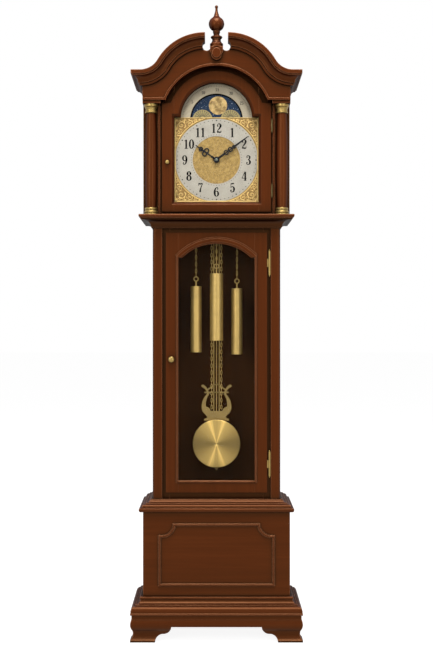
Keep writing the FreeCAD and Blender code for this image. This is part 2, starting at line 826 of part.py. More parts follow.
def make_trunk_door():
    front = trunk_front_y + door_setback
    back = front + door_thickness
    arch_centre = door_arch_top - door_arch_radius

    def opening(inset):
        return arched_outline(door_opening_half_width, door_opening_bottom, door_opening_shoulder,
                              door_arch_radius, arch_centre, inset)

    def bead_line(inset):
        left = 1 - inset / door_bead_width
        grown = left * door_bead_width
        return arched_outline(door_opening_half_width + grown, door_opening_bottom - grown,
                              door_opening_shoulder + grown, door_arch_radius + left * door_arch_bead_width,
                              arch_centre)

    glass_front = front + glass_setback
    glass_side = door_opening_half_width + glass_lap
    glass_low = door_opening_bottom - glass_lap
    glass_high = door_arch_top + glass_lap
    frame = block(-door_half_width, door_half_width, front, back, door_bottom, door_top)
    frame = frame.cut(front_prism(opening(0), front - overrun, back + overrun))
    frame = frame.cut(block(-glass_side, glass_side, glass_front, back + overrun, glass_low, glass_high))
    save("trunk_door_frame",
         *frame_members(frame, door_opening_half_width, door_opening_bottom, door_opening_shoulder,
                        front - overrun, back + overrun))
    save("trunk_door_glass",
         block(-glass_side, glass_side, glass_front, glass_front + glass_thickness, glass_low,
               glass_high))
    save("trunk_door_bead",
         bead_round(bead_line, door_bead_width, door_bead_depth, front))
    save("trunk_door_knob",
         door_knob(door_knob_x, door_knob_z, door_knob_radius, door_knob_length, front))
    stile_inner = trunk_half_width - corner_stile_width
    leaves = [hinge_leaves(trunk_hinge_x, front, height, trunk_hinge_length, trunk_hinge_radius,
                           trunk_hinge_pin_radius, door_half_width, stile_inner, trunk_hinge_leaf_depth)
              for height in trunk_hinge_heights]
    save("trunk_door_hinge_leaves", *[door_leaf for door_leaf, case_leaf in leaves])
    save("trunk_case_hinge_leaves", *[case_leaf for door_leaf, case_leaf in leaves])


# Hood

crown_arch_centre_z = crown_top_z - crown_arch_radius
crown_sweep_centre_z = crown_end_z + crown_sweep_radius
crown_centre_rise = crown_sweep_centre_z - crown_arch_centre_z
crown_centre_run = math.sqrt((crown_arch_radius + crown_sweep_radius) ** 2 - crown_centre_rise ** 2)
crown_sweep_x = crown_gap_half_width + crown_centre_run
hood_back_y = board_back_y - sliding_clearance
ledge_top = hood_bottom + ledge_thickness
column_top = frieze_bottom - soffit_thickness
roof_underside = roof_drop + roof_thickness
notch_half_width = notch_x + notch_radius
notch_floor = notch_z - notch_radius


def crown_path(start_x, offset, y):
    """Edges along the right half of the broken arch, outer end first, lowered by an offset."""
    sweep_radius = crown_sweep_radius + offset
    arch_radius = crown_arch_radius - offset
    sweep_centre = point(crown_sweep_x, y, crown_sweep_centre_z)
    arch_centre = point(crown_gap_half_width, y, crown_arch_centre_z)
    lean = math.atan2(crown_centre_rise, crown_centre_run)
    join = arch_centre + point(math.cos(lean), 0, math.sin(lean)) * arch_radius
    foot = sweep_centre - UP * sweep_radius
    sweep_angle = math.pi * 5 / 4 + lean / 2
    sweep_middle = sweep_centre + point(math.cos(sweep_angle), 0, math.sin(sweep_angle)) * sweep_radius
    arch_angle = math.pi / 4 + lean / 2
    arch_middle = arch_centre + point(math.cos(arch_angle), 0, math.sin(arch_angle)) * arch_radius
    top = arch_centre + UP * arch_radius
    start = point(start_x, y, crown_end_z - offset)
    return [Part.LineSegment(start, foot).toShape(), Part.Arc(foot, sweep_middle, join).toShape(),
            Part.Arc(join, arch_middle, top).toShape()]


def crown_board(half_width, bottom, offset, y0, y1):
    """Board under the broken arch, with the middle of its top left flat."""
    right = crown_path(crown_half_width, offset, y0)
    left = [mirrored(edge) for edge in reversed(right)]
    high = crown_end_z - offset
    top = crown_top_z - offset
    feet = [point(-crown_half_width, y0, high), point(-crown_half_width, y0, bottom),
            point(crown_half_width, y0, bottom), point(crown_half_width, y0, high)]
    lines = [Part.LineSegment(a, b).toShape() for a, b in zip(feet, feet[1:])]
    lines.append(Part.LineSegment(point(crown_gap_half_width, y0, top),
                                  point(-crown_gap_half_width, y0, top)).toShape())
    wire = Part.Wire(Part.__sortEdges__([*right, *left, *lines]))
    board = Part.Face(wire).extrude(point(0, y1 - y0, 0))
    return board.common(block(-half_width, half_width, y0, y1, bottom, crown_top_z))


def make_hood_boards():
    inner = hood_half_width - hood_side_thickness
    ledge_projection = ledge_half_width - ledge_inner_half_width
    ledge_inner_y = ledge_front_y + ledge_projection
    rail_back_y = stop_front_y - sliding_clearance
    rail = block(-ledge_inner_half_width, ledge_inner_half_width, ledge_inner_y, rail_back_y,
                 hood_bottom, ledge_top)
    save("hood_ledge",
         *moulding_lengths(ledge_shares, ledge_inner_half_width, ledge_inner_y, hood_back_y, hood_bottom,
                           ledge_projection, ledge_thickness), rail)
    side_top = crown_end_z - roof_underside
    side = block(inner, hood_half_width, mask_front_y, hood_back_y, ledge_top, side_top)
    soffit = block(soffit_inner_half_width, hood_half_width, tympanum_front_y + soffit_setback,
                   mask_front_y, column_top, frieze_bottom)
    post = block(door_post_inner_half_width, door_post_inner_half_width + door_post_width,
                 door_post_front_y, mask_front_y, ledge_top, column_top)
    save("hood_carcase", *pair(side), *pair(soffit), *pair(post))
    mask_back_y = mask_front_y + mask_thickness
    mask = crown_board(inner, ledge_top, roof_underside, mask_front_y, mask_back_y)
    mask = mask.cut(front_prism(arched_outline(hood_opening_half_width, hood_opening_bottom,
                                               hood_opening_shoulder, hood_opening_arch_radius,
                                               dial_arch_centre), mask_front_y - overrun,
                                mask_back_y + overrun))
    mask = mask.cut(block(-notch_half_width - roof_thickness, notch_half_width + roof_thickness,
                          mask_front_y - overrun, mask_back_y + overrun, notch_floor - roof_underside,
                          crown_top_z))
    save("dial_mask",
         *frame_members(mask, hood_opening_half_width, hood_opening_bottom, hood_opening_shoulder,
                        mask_front_y - overrun, mask_back_y + overrun))


def make_columns():
    cap_bottom = column_top - column_cap_height
    foot_top = ledge_top + column_foot_height
    swell_shares = [(0, 0), (1, 0), (.92, 1, -.02), (0, 1)]
    shaft = turned_upright(scaled(swell_shares, column_radius, cap_bottom - foot_top, foot_top),
                           column_x, column_y)
    foot = turned_upright(scaled(column_foot_shares, column_brass_radius, column_foot_height, ledge_top),
                          column_x, column_y)
    cap = turned_upright(scaled(column_cap_shares, column_brass_radius, column_cap_height, cap_bottom),
                         column_x, column_y)
    save("hood_columns", *pair(shaft))
    save("column_brasses", *pair(foot), *pair(cap))


def notch_cutters(y0, y1):
    """Round notch on each side of the finial, open above."""
    cutters = [block(-crown_gap_half_width, crown_gap_half_width, y0, y1, notch_z, crown_top_z + overrun)]
    return cutters + pair(level_rod(notch_x, notch_z, notch_radius, y0, y1))


def make_tympanum():
    back = tympanum_front_y + tympanum_thickness
    low = tympanum_front_y - overrun
    high = back + overrun
    board = crown_board(hood_half_width, frieze_bottom, crown_cap, tympanum_front_y, back)
    lip_front = tympanum_front_y - tympanum_lip_depth
    lip_arch = level_rod(0, tympanum_arch_centre, tympanum_arch_radius + tympanum_lip_width, lip_front,
                         tympanum_front_y)
    lip_arch = lip_arch.cut(block(-hood_half_width, hood_half_width, low, high, 0, frieze_bottom))
    lip_foot = block(-hood_half_width, hood_half_width, lip_front, tympanum_front_y, frieze_bottom,
                     frieze_bottom + tympanum_lip_width)
    board = board.fuse([lip_arch, lip_foot])
    board = board.cut(level_rod(0, tympanum_arch_centre, tympanum_arch_radius, low, high))
    board = board.cut([*notch_cutters(low, high),
                       block(-boss_half_width, boss_half_width, low, high, boss_seat_z, crown_top_z)])
    save("tympanum", board)


def make_crown():
    start_x = crown_half_width + overrun
    path = Part.Wire(crown_path(start_x, 0, tympanum_front_y))
    profile = scaled(crown_shares, crown_projection, -crown_height, crown_end_z)
    front_wire = closed_wire(profile, lambda out, z: point(start_x, tympanum_front_y - out, z))
    sweep = Part.BRepOffsetAPI.MakePipeShell(path)
    sweep.setBiNormalMode(TO_BACK)
    sweep.add(front_wire, False, False)
    sweep.build()
    sweep.makeSolid()
    front = sweep.shape()
    corner = crown_projection + overrun
    reach = hood_half_width + corner
    front_wedge = plan_prism([(0, tympanum_front_y - corner), (reach, tympanum_front_y - corner),
                              (hood_half_width - corner, tympanum_front_y + corner),
                              (0, tympanum_front_y + corner)], frieze_bottom, finial_top)
    front = front.common(front_wedge)
    front = front.cut(notch_cutters(tympanum_front_y - corner, tympanum_front_y + corner))
    side_wire = closed_wire(profile,
                            lambda out, z: point(hood_half_width + out, tympanum_front_y - corner, z))
    side = Part.Face(side_wire).extrude(point(0, hood_back_y - tympanum_front_y + corner, 0))
    side_wedge = plan_prism([(hood_half_width - corner, tympanum_front_y + corner),
                             (reach, tympanum_front_y - corner), (reach, back_y),
                             (hood_half_width - corner, back_y)], frieze_bottom, finial_top)
    save("crown_mouldings", *pair(front), *pair(side.common(side_wedge)))


def make_roof():
    front = tympanum_front_y + tympanum_thickness
    roof = crown_board(hood_half_width, frieze_bottom, roof_drop, front, hood_back_y)
    roof = roof.cut(crown_board(hood_half_width + overrun, frieze_bottom - overrun, roof_underside,
                                front - overrun, hood_back_y + overrun))
    gap = block(-notch_half_width, notch_half_width, front - overrun, hood_back_y + overrun,
                frieze_bottom, finial_top)
    roof = roof.cut(gap)
    wall_top = crown_arch_centre_z + arch_half_chord(crown_arch_radius - roof_underside,
                                                     crown_gap_half_width,
                                                     notch_half_width + roof_thickness)
    wall = block(notch_half_width, notch_half_width + roof_thickness, front, hood_back_y,
                 notch_floor - roof_thickness, wall_top)
    floor = block(-notch_half_width, notch_half_width, front, hood_back_y, notch_floor - roof_thickness,
                  notch_floor)
    save("hood_roof", roof, *pair(wall), floor)


def make_finial():
    turned = turned_upright(scaled(finial_shares, finial_radius, finial_top - finial_bottom,
                                   finial_bottom), 0, finial_y)
    boss_back_y = tympanum_front_y + tympanum_thickness
    cap = block(-boss_half_width, boss_half_width, tympanum_front_y, boss_back_y, boss_seat_z,
                finial_bottom)
    waist = boss_half_width * 3 / 4
    face_outline = [(-boss_half_width, finial_bottom), (-boss_half_width, boss_seat_z),
                    (-waist, (boss_seat_z + boss_bottom) / 2),
                    (waist, (boss_seat_z + boss_bottom) / 2, -(boss_seat_z - boss_bottom) / 2 / waist),
                    (boss_half_width, boss_seat_z), (boss_half_width, finial_bottom)]
    face = front_prism(face_outline, boss_front_y, tympanum_front_y)
    plaque_half_height = (plaque_top - plaque_bottom) / 2
    plaque_y = boss_front_y - plaque_depth
    plaque_centre = point(0, plaque_y, plaque_bottom + plaque_half_height)
    oval = Part.Ellipse(plaque_centre + UP * plaque_half_height,
                        plaque_centre + RIGHT * plaque_half_width, plaque_centre)
    plaque = Part.Face(Part.Wire(oval.toShape())).extrude(point(0, plaque_depth, 0))
    save("finial", turned, cap.fuse([face, plaque]))


def make_hood_door():
    front = hood_door_front_y
    back = front + hood_door_thickness

    def opening(inset):
        return arched_outline(hood_opening_half_width, hood_opening_bottom, hood_opening_shoulder,
                              hood_opening_arch_radius, dial_arch_centre, inset)

    frame = front_prism(arched_outline(hood_door_half_width, hood_door_bottom, hood_door_shoulder,
                                       hood_door_arch_radius, hood_door_arch_centre), front, back)
    frame = frame.cut(front_prism(opening(0), front - overrun, back + overrun))
    frame = frame.cut(splayed_prism(opening(-hood_opening_bevel), opening(0), front,
                                    front + hood_opening_bevel))
    glass_front = front + hood_glass_setback
    glass_back = glass_front + glass_thickness
    frame = frame.cut(front_prism(opening(-glass_lap), glass_front, back + overrun))
    save("hood_door_frame",
         *frame_members(frame, hood_opening_half_width, hood_opening_bottom, hood_opening_shoulder,
                        front - overrun, back + overrun))
    save("hood_door_glass", front_prism(opening(-glass_lap), glass_front, glass_back))
    save("hood_door_knob", door_knob(hood_knob_x, hood_knob_z, hood_knob_radius, hood_knob_length, front))
    leaves = [hinge_leaves(hood_hinge_x, front, height, hood_hinge_length, hood_hinge_radius,
                           hood_hinge_pin_radius, hood_door_half_width, door_post_inner_half_width,
                           hood_hinge_leaf_depth) for height in hood_hinge_heights]
    save("hood_door_hinge_leaves", *[door_leaf for door_leaf, case_leaf in leaves])
    save("hood_case_hinge_leaves", *[case_leaf for door_leaf, case_leaf in leaves])


def make_backboard():
    low = block(-base_half_width, base_half_width, board_back_y, back_y, base_bottom, base_top)
    middle = block(-trunk_half_width, trunk_half_width, board_back_y, back_y, base_top, hood_bottom)
    high = crown_board(hood_half_width, hood_bottom, roof_underside, board_back_y, back_y)
    high = high.cut(block(-notch_half_width - roof_thickness, notch_half_width + roof_thickness,
                          board_back_y - overrun, back_y + overrun, notch_floor - roof_underside,
                          crown_top_z))
    save("backboard", low.fuse([middle, high]).removeSplitter())


# Dial and hands

dial_back_y = dial_front_y + dial_thickness
back_plate_end = back_plate_y + plate_thickness


def make_dial():
    outline = arched_outline(dial_half_width, dial_centre_z - dial_half_width, dial_shoulder,
                             dial_arch_radius, dial_arch_centre)
    low = dial_front_y - overrun
    high = dial_back_y + overrun
    plate = front_prism(outline, dial_front_y, dial_back_y)
    plate = plate.cut(level_rod(0, dial_centre_z, dial_hole_radius, low, high))
    below_aperture = block(-dial_half_width, dial_half_width, low, high, 0,
                           dial_arch_centre + aperture_rise)
    humps = pair(level_rod(hump_x, dial_arch_centre, hump_radius, low, high))
    aperture = level_rod(0, dial_arch_centre, lunar_inner_radius, low, high).cut([below_aperture, *humps])
    plate = plate.cut(aperture)
    feet = [level_rod(x, z, dial_foot_radius, dial_back_y, front_plate_y)
            for x in (-dial_foot_x, dial_foot_x) for z in dial_foot_heights]
    collar_y = dial_back_y + 2 * moon_disc_gap + moon_disc_thickness
    stud = level_rod(0, dial_arch_centre, moon_stud_radius, dial_back_y, collar_y)
    collar = level_rod(0, dial_arch_centre, moon_collar_radius, collar_y,
                       collar_y + moon_collar_thickness)
    save("dial_plate", plate.fuse([*feet, stud, collar]))
    ring_front = dial_front_y - applied_ring_thickness
    ring = level_rod(0, dial_centre_z, chapter_outer_radius, ring_front, dial_front_y)
    save("chapter_ring", ring.cut(level_rod(0, dial_centre_z, chapter_inner_radius, low, high)))
    lunar = level_rod(0, dial_arch_centre, dial_arch_radius, ring_front, dial_front_y)
    lunar = lunar.cut([level_rod(0, dial_arch_centre, lunar_inner_radius, low, high), below_aperture])
    lunar = lunar.cut(level_rod(0, dial_centre_z, chapter_outer_radius, low, high))
    hump_plates = [hump.common(block(-dial_half_width, dial_half_width, ring_front, dial_front_y,
                                     dial_arch_centre + aperture_rise, finial_top)) for hump in humps]
    save("lunar_ring", lunar, *hump_plates)


def make_spandrels():
    """Corner ornament with a concave inner edge and round eyes, once in each corner of the square."""
    outer = dial_half_width - spandrel_margin
    front = dial_front_y - spandrel_thickness
    ring_clear = chapter_outer_radius + spandrel_gap
    inner = math.sqrt(ring_clear ** 2 - outer ** 2) + spandrel_gap
    corner = block(inner, outer, front, dial_front_y, dial_centre_z + inner, dial_centre_z + outer)
    corner = corner.cut(level_rod(0, dial_centre_z, ring_clear, front - overrun, dial_front_y + overrun))
    reach = outer - ring_clear * math.sqrt(2) / 2
    eyes = [level_rod(outer - reach * u, dial_centre_z + outer - reach * v, spandrel_eye_radius,
                      front - overrun, dial_front_y + overrun) for u, v in spandrel_eye_shares]
    corner = corner.cut(eyes)
    below = [shape.mirror(point(0, 0, dial_centre_z), UP) for shape in pair(corner)]
    save("dial_spandrels", *pair(corner), *below)


def make_moon():
    front = dial_back_y + moon_disc_gap
    disc = level_rod(0, dial_arch_centre, moon_disc_radius, front, front + moon_disc_thickness)
    moon = level_rod(0, dial_arch_centre + moon_orbit, moon_radius, front - moon_thickness, front)
    other_moon = level_rod(0, dial_arch_centre - moon_orbit, moon_radius, front - moon_thickness, front)
    disc = disc.fuse([moon, other_moon])
    disc = disc.cut(level_rod(0, dial_arch_centre, moon_stud_radius + running_clearance, front - overrun,
                              front + overrun))
    disc.rotate(point(0, 0, dial_arch_centre), TO_BACK, moon_rest_angle)
    save("moon_disc", disc)


def clock_hand(length, angle, front, loop_shares, bore_radius):
    """Pierced hand that points at an angle, clockwise from twelve."""
    back = front + hand_thickness
    base = dial_centre_z
    tip = base + length
    shaft = front_prism([(-hand_shaft_half_width, base), (hand_shaft_half_width, base),
                         (hand_tip_half_width, tip), (-hand_tip_half_width, tip)], front, back)
    boss = level_rod(0, base, hand_boss_radius, front, back)
    loops = []
    holes = []
    for at, aside, radius in loop_shares:
        for side in {-aside, aside}:
            place = (length * side, base + length * at)
            loops.append(level_rod(*place, length * radius, front, back))
            holes.append(level_rod(*place, length * radius * loop_hole_share, front - overrun,
                                   back + overrun))
    hand = boss.fuse([shaft, *loops])
    hand = hand.cut([*holes, level_rod(0, base, bore_radius, front - overrun, back + overrun)])
    hand.rotate(point(0, 0, base), TO_BACK, angle)
    return hand


def make_hands():
    save("minute_hand",
         clock_hand(minute_hand_length, minute_hand_angle, minute_hand_front_y, minute_loop_shares,
                    cannon_pipe_radius))
    save("hour_hand",
         clock_hand(hour_hand_length, hour_hand_angle, hour_hand_front_y, hour_loop_shares,
                    hour_pipe_radius))


# Movement

centre_at = (0, dial_centre_z)
great_at = (sprocket_x[1], dial_centre_z - math.sqrt(great_distance ** 2 - sprocket_x[1] ** 2))
third_at = (third_x, dial_centre_z + math.sqrt(third_distance ** 2 - third_x ** 2))
escape_at = (0, third_at[1] + math.sqrt(escape_distance ** 2 - third_x ** 2))
anchor_at = (0, anchor_z)
minute_wheel_at = (motion_distance * math.cos(math.radians(motion_angle)),
                   dial_centre_z + motion_distance * math.sin(math.radians(motion_angle)))
sprocket_z = [side_sprocket_z, great_at[1], side_sprocket_z]
side_arbors = [(sprocket_x[0], side_sprocket_z), (sprocket_x[2], side_sprocket_z)]


def direction(start, end):
    return math.atan2(end[1] - start[1], end[0] - start[0])


def spot(centre, radius, angle):
    return (centre[0] + radius * math.cos(angle), centre[1] + radius * math.sin(angle))


def crossings(centre, y0, y1, inner, outer):
    """Windows between the spokes of a wheel."""
    half = math.radians(window_half_angle)
    bulge = math.tan(half / 2)
    windows = []
    for index in range(spoke_count):
        middle = 2 * math.pi * (index + 1 / 2) / spoke_count
        sides = [(inner, -half), (outer, -half), (outer, half), (inner, half)]
        corners = [spot(centre, radius, middle + turn) for radius, turn in sides]
        outline = [(*corners[0], bulge), corners[1], (*corners[2], -bulge), corners[3]]
        windows.append(front_prism(outline, y0, y1))
    return windows


def toothed_wheel(centre, y, thickness, teeth, pitch_radius, toward, hub):
    """Crossed-out wheel with a gap between teeth on the line towards its partner."""
    module = 2 * pitch_radius / teeth
    tip = pitch_radius + tooth_addendum_share * module
    root = pitch_radius - tooth_root_share * module
    pitch = 2 * math.pi / teeth
    outline = []
    for index in range(teeth):
        middle = toward + (index + 1 / 2) * pitch
        for radius, share in ((root, -tooth_root_width_share), (tip, -tooth_tip_width_share),
                              (tip, tooth_tip_width_share), (root, tooth_root_width_share)):
            outline.append(spot(centre, radius, middle + share * pitch))
    wheel = front_prism(outline, y, y + thickness)
    return wheel.cut(crossings(centre, y - overrun, y + thickness + overrun, hub,
                               root - rim_share * pitch_radius))


def lantern_pinion(centre, y, length, pins, pitch_radius, toward):
    """Two shrouds with round pins between them, one pin on the line towards the wheel."""
    pin_radius = pin_radius_share * 2 * math.pi * pitch_radius / pins
    shroud_radius = pitch_radius + pinion_shroud_margin
    pieces = [level_rod(*centre, shroud_radius, start, start + pinion_shroud_thickness)
              for start in (y, y + length - pinion_shroud_thickness)]
    for index in range(pins):
        place = spot(centre, pitch_radius, toward + 2 * math.pi * index / pins)
        pieces.append(level_rod(*place, pin_radius, y, y + length))
    return pieces


def arbor(centre):
    front = front_plate_y + plate_thickness + sliding_clearance
    body = level_rod(*centre, arbor_radius, front, back_plate_y - sliding_clearance)
    return body.fuse(level_rod(*centre, pivot_radius, front_plate_y, back_plate_end))


def pinion_start(wheel_y):
    return wheel_y + (wheel_thickness - pinion_length) / 2


def wheel_radius(distance, teeth, pins):
    return distance * teeth / (teeth + pins)


def make_movement_frame():
    hole = pivot_radius + running_clearance
    front_end = front_plate_y + plate_thickness
    front = block(-plate_half_width, plate_half_width, front_plate_y, front_end, plate_bottom, plate_top)
    back = block(-plate_half_width, plate_half_width, back_plate_y, back_plate_end, plate_bottom,
                 plate_top)
    low = front_plate_y - overrun
    high = back_plate_end + overrun
    for place in (great_at, third_at, escape_at, *side_arbors):
        front = front.cut(level_rod(*place, hole, low, high))
        back = back.cut(level_rod(*place, hole, low, high))
    front = front.cut(level_rod(*anchor_at, hole, low, high))
    front = front.cut(level_rod(*centre_at, arbor_radius + running_clearance, low, high))
    back = back.cut(level_rod(*anchor_at, back_plate_hole_radius, low, high))
    back = back.cut(level_rod(*centre_at, hole, low, high))
    stud_end = minute_pinion_y - minute_stud_tip
    front = front.fuse(level_rod(*minute_wheel_at, arbor_radius, stud_end, front_plate_y))
    pillar_x = plate_half_width - pillar_inset
    pillars = [level_rod(x, z, pillar_radius, front_end, back_plate_y) for x in (-pillar_x, pillar_x)
               for z in (plate_bottom + pillar_inset, plate_top - pillar_inset)]
    save("movement_frame", front, back, *pillars)


def make_going_train():
    great_radius = wheel_radius(great_distance, great_teeth, centre_pinion_pins)
    centre_radius = wheel_radius(third_distance, centre_teeth, third_pinion_pins)
    third_radius = wheel_radius(escape_distance, third_teeth, escape_pinion_pins)
    great = toothed_wheel(great_at, great_wheel_y, wheel_thickness, great_teeth, great_radius,
                          direction(great_at, centre_at), hub_radius)
    save("great_wheel", arbor(great_at).fuse(great))
    hand_tip_y = minute_hand_front_y - centre_arbor_tip
    centre = toothed_wheel(centre_at, centre_wheel_y, wheel_thickness, centre_teeth, centre_radius,
                           direction(centre_at, third_at), hub_radius)
    centre_pinion = lantern_pinion(centre_at, pinion_start(great_wheel_y), pinion_length,
                                   centre_pinion_pins, great_distance - great_radius,
                                   direction(centre_at, great_at))
    centre_arbor = level_rod(*centre_at, arbor_radius, hand_tip_y, back_plate_y - sliding_clearance)
    centre_pivot = level_rod(*centre_at, pivot_radius, back_plate_y - overrun, back_plate_end)
    save("centre_wheel", centre_arbor.fuse([centre, *centre_pinion, centre_pivot]))
    third = toothed_wheel(third_at, third_wheel_y, wheel_thickness, third_teeth, third_radius,
                          direction(third_at, escape_at), hub_radius)
    third_pinion = lantern_pinion(third_at, pinion_start(centre_wheel_y), pinion_length,
                                  third_pinion_pins, third_distance - centre_radius,
                                  direction(third_at, centre_at))
    save("third_wheel", arbor(third_at).fuse([third, *third_pinion]))
    escape_pinion = lantern_pinion(escape_at, pinion_start(third_wheel_y), pinion_length,
                                   escape_pinion_pins, escape_distance - third_radius,
                                   direction(escape_at, third_at))
    save("escape_wheel", arbor(escape_at).fuse([escape_wheel(), *escape_pinion]))


def escape_wheel():
    """Wheel with pointed teeth, each with a steep leading face and a curved back."""
    root = escape_radius - escape_tooth_depth
    pitch = 2 * math.pi / escape_teeth
    outline = []
    for index in range(escape_teeth):
        start = -index * pitch
        outline.append(spot(escape_at, root, start))
        outline.append(spot(escape_at, escape_radius, start))
    wheel = front_prism(outline, escape_wheel_y, escape_wheel_y + wheel_thickness)
    return wheel.cut(crossings(escape_at, escape_wheel_y - overrun,
                               escape_wheel_y + wheel_thickness + overrun, hub_radius,
                               root - rim_share * escape_radius))


def make_motion_work():
    cannon_radius = motion_distance * cannon_pins / (cannon_pins + minute_teeth)
    cannon_end = cannon_y + cannon_pinion_length
    cannon = lantern_pinion(centre_at, cannon_y, cannon_pinion_length, cannon_pins, cannon_radius,
                            direction(centre_at, minute_wheel_at))
    cannon = level_rod(*centre_at, cannon_pipe_radius, minute_hand_front_y, cannon_end).fuse(cannon)
    cannon_bore = level_rod(*centre_at, arbor_radius + running_clearance, minute_hand_front_y - overrun,
                            cannon_end + overrun)
    save("cannon_pinion", cannon.cut(cannon_bore))
    minute_radius = motion_distance - cannon_radius
    minute = toothed_wheel(minute_wheel_at, minute_wheel_y, motion_wheel_thickness, minute_teeth,
                           minute_radius, direction(minute_wheel_at, centre_at), hub_radius)
    hour_radius = wheel_radius(motion_distance, hour_teeth, minute_pinion_pins)
    pinion = lantern_pinion(minute_wheel_at, minute_pinion_y, minute_pinion_length, minute_pinion_pins,
                            motion_distance - hour_radius, direction(minute_wheel_at, centre_at))
    pipe_end = minute_wheel_y + motion_wheel_thickness
    minute_pipe = level_rod(*minute_wheel_at, cannon_pipe_radius, minute_pinion_y, pipe_end)
    minute = minute_pipe.fuse([minute, *pinion])
    bore = level_rod(*minute_wheel_at, arbor_radius + running_clearance, minute_pinion_y - overrun,
                     pipe_end + overrun)
    save("minute_wheel", minute.cut(bore))
    hour_hub = hour_pipe_radius + pinion_shroud_margin
    hour = toothed_wheel(centre_at, hour_wheel_y, motion_wheel_thickness, hour_teeth, hour_radius,
                         direction(centre_at, minute_wheel_at), hour_hub)
    hour_end = hour_wheel_y + motion_wheel_thickness
    hour = hour.fuse(level_rod(*centre_at, hour_pipe_radius, hour_hand_front_y, hour_end))
    hour_bore = level_rod(*centre_at, cannon_pipe_radius + running_clearance,
                          hour_hand_front_y - overrun, hour_end + overrun)
    save("hour_wheel", hour.cut(hour_bore))


cock_front_y = back_plate_end + cock_gap
cock_back_y = cock_front_y + cock_thickness


def make_anchor():
    front = escape_wheel_y + (wheel_thickness - anchor_thickness) / 2
    near = escape_radius + pallet_clearance
    far = near + pallet_length
    up = math.pi / 2
    inside = near + pallet_length / 3
    pallet = [(far, pallet_angle + pallet_spread), (near, pallet_angle),
              (inside, pallet_angle - pallet_spread)]
    corners = [spot(escape_at, radius, up - math.radians(angle)) for radius, angle in pallet]
    outline = [(0, anchor_z + anchor_arm_width), *corners, (0, anchor_z - anchor_arm_width)]
    arms = pair(front_prism(outline, front, front + anchor_thickness))
    hub = level_rod(*anchor_at, anchor_hub_radius, front, front + anchor_thickness)
    body_start = front_plate_y + plate_thickness + sliding_clearance
    body = level_rod(*anchor_at, arbor_radius, body_start, cock_front_y - sliding_clearance)
    pivots = level_rod(*anchor_at, pivot_radius, front_plate_y, cock_back_y - cock_thickness / 2)
    crutch_front = back_plate_end + (cock_gap - crutch_thickness) / 2
    crutch_back = crutch_front + crutch_thickness
    crutch_bottom = anchor_z - crutch_drop
    fork_inner = leader_half_width + sliding_clearance
    fork_outer = fork_inner + crutch_thickness
    fork_top = crutch_bottom + crutch_fork_length
    arm_half = crutch_width / 2
    arm = block(-arm_half, arm_half, crutch_front, crutch_back, crutch_bottom, anchor_z + arm_half)
    foot = block(-fork_outer, fork_outer, crutch_front, crutch_back, crutch_bottom, fork_top)
    tine = block(fork_inner, fork_outer, crutch_front, pendulum_y + 2 * leader_half_thickness,
                 crutch_bottom, fork_top)
    save("anchor_and_crutch", hub.fuse([*arms, body, pivots, arm, foot, *pair(tine)]))
    plate = block(-cock_half_width, cock_half_width, cock_front_y, cock_back_y,
                  anchor_z - cock_half_height, anchor_z + cock_half_height)
    cock_foot = block(cock_half_width - cock_foot_width, cock_half_width, back_plate_end, cock_front_y,
                      anchor_z - cock_half_height, anchor_z + cock_half_height)
    hole = level_rod(*anchor_at, pivot_radius + running_clearance, cock_front_y - overrun,
                     cock_back_y - cock_thickness / 4)
    plate = plate.cut(hole)
    pin_start = cock_back_y - cock_thickness / 4
    pin = level_rod(*anchor_at, suspension_pin_radius, pin_start, cock_back_y + suspension_pin_length)
    save("back_cock", plate.fuse([*pair(cock_foot), pin]))


# Pendulum

rod_places = [-rod_spacing, 0, rod_spacing]
lyre_front_y = pendulum_y - lyre_thickness / 2
lyre_back_y = pendulum_y + lyre_thickness / 2


def make_pendulum_rods():
    """Suspension block, flat spring, leader, yoke and three rods."""
    y = pendulum_y
    block_bottom = anchor_z - suspension_block_half_height
    spring_bottom = block_bottom - spring_length
    yoke_bottom = yoke_z - yoke_half_height
    head = block(-suspension_block_half_width, suspension_block_half_width,
                 y - suspension_block_half_depth, y + suspension_block_half_depth, block_bottom,
                 anchor_z + suspension_block_half_height)
    spring = block(-spring_half_width, spring_half_width, y - spring_half_thickness,
                   y + spring_half_thickness, spring_bottom, block_bottom)
    leader = block(-leader_half_width, leader_half_width, y - leader_half_thickness,
                   y + leader_half_thickness, yoke_z, spring_bottom)
    yoke = block(-yoke_half_width, yoke_half_width, y - yoke_half_depth, y + yoke_half_depth,
                 yoke_bottom, yoke_z + yoke_half_height)
    rods = [upright_rod(x, y, rod_radius, lyre_body_top, yoke_bottom) for x in rod_places]
    bore = level_rod(*anchor_at, suspension_pin_radius + running_clearance, y - overrun, y + overrun)
    save("pendulum_rods", head.fuse([spring, leader, yoke, *rods]).cut(bore))


lyre_body_top = lyre_foot_z + lyre_body_share * lyre_height


def make_lyre():
    """Flat lyre with curled horns, a cross bar and a pointed top, on a tail that runs behind the bob."""
    half = front_prism(scaled(lyre_shares, lyre_half_width, lyre_height, lyre_foot_z), lyre_front_y,
                       lyre_back_y)
    bar = block(-lyre_bar_half_width, lyre_bar_half_width, lyre_front_y, lyre_back_y, lyre_bar_z,
                lyre_bar_z + lyre_bar_height)
    peak = front_prism(scaled(lyre_peak_shares, lyre_half_width, lyre_height, lyre_foot_z), lyre_front_y,
                       lyre_back_y)
    tail_bottom_z = bob_centre_z - bob_radius + lyre_tail_half_width
    tail = block(-lyre_tail_half_width, lyre_tail_half_width, lyre_front_y, lyre_back_y, tail_bottom_z,
                 lyre_foot_z)
    rating_rod = upright_rod(0, pendulum_y, rating_rod_radius, rating_rod_bottom, tail_bottom_z)
    lyre = half.fuse([mirrored(half), bar, *pair(peak), tail, rating_rod])
    rods = [upright_rod(x, pendulum_y, rod_radius, lyre_body_top, anchor_z) for x in rod_places]
    save("pendulum_lyre", lyre.cut(rods))


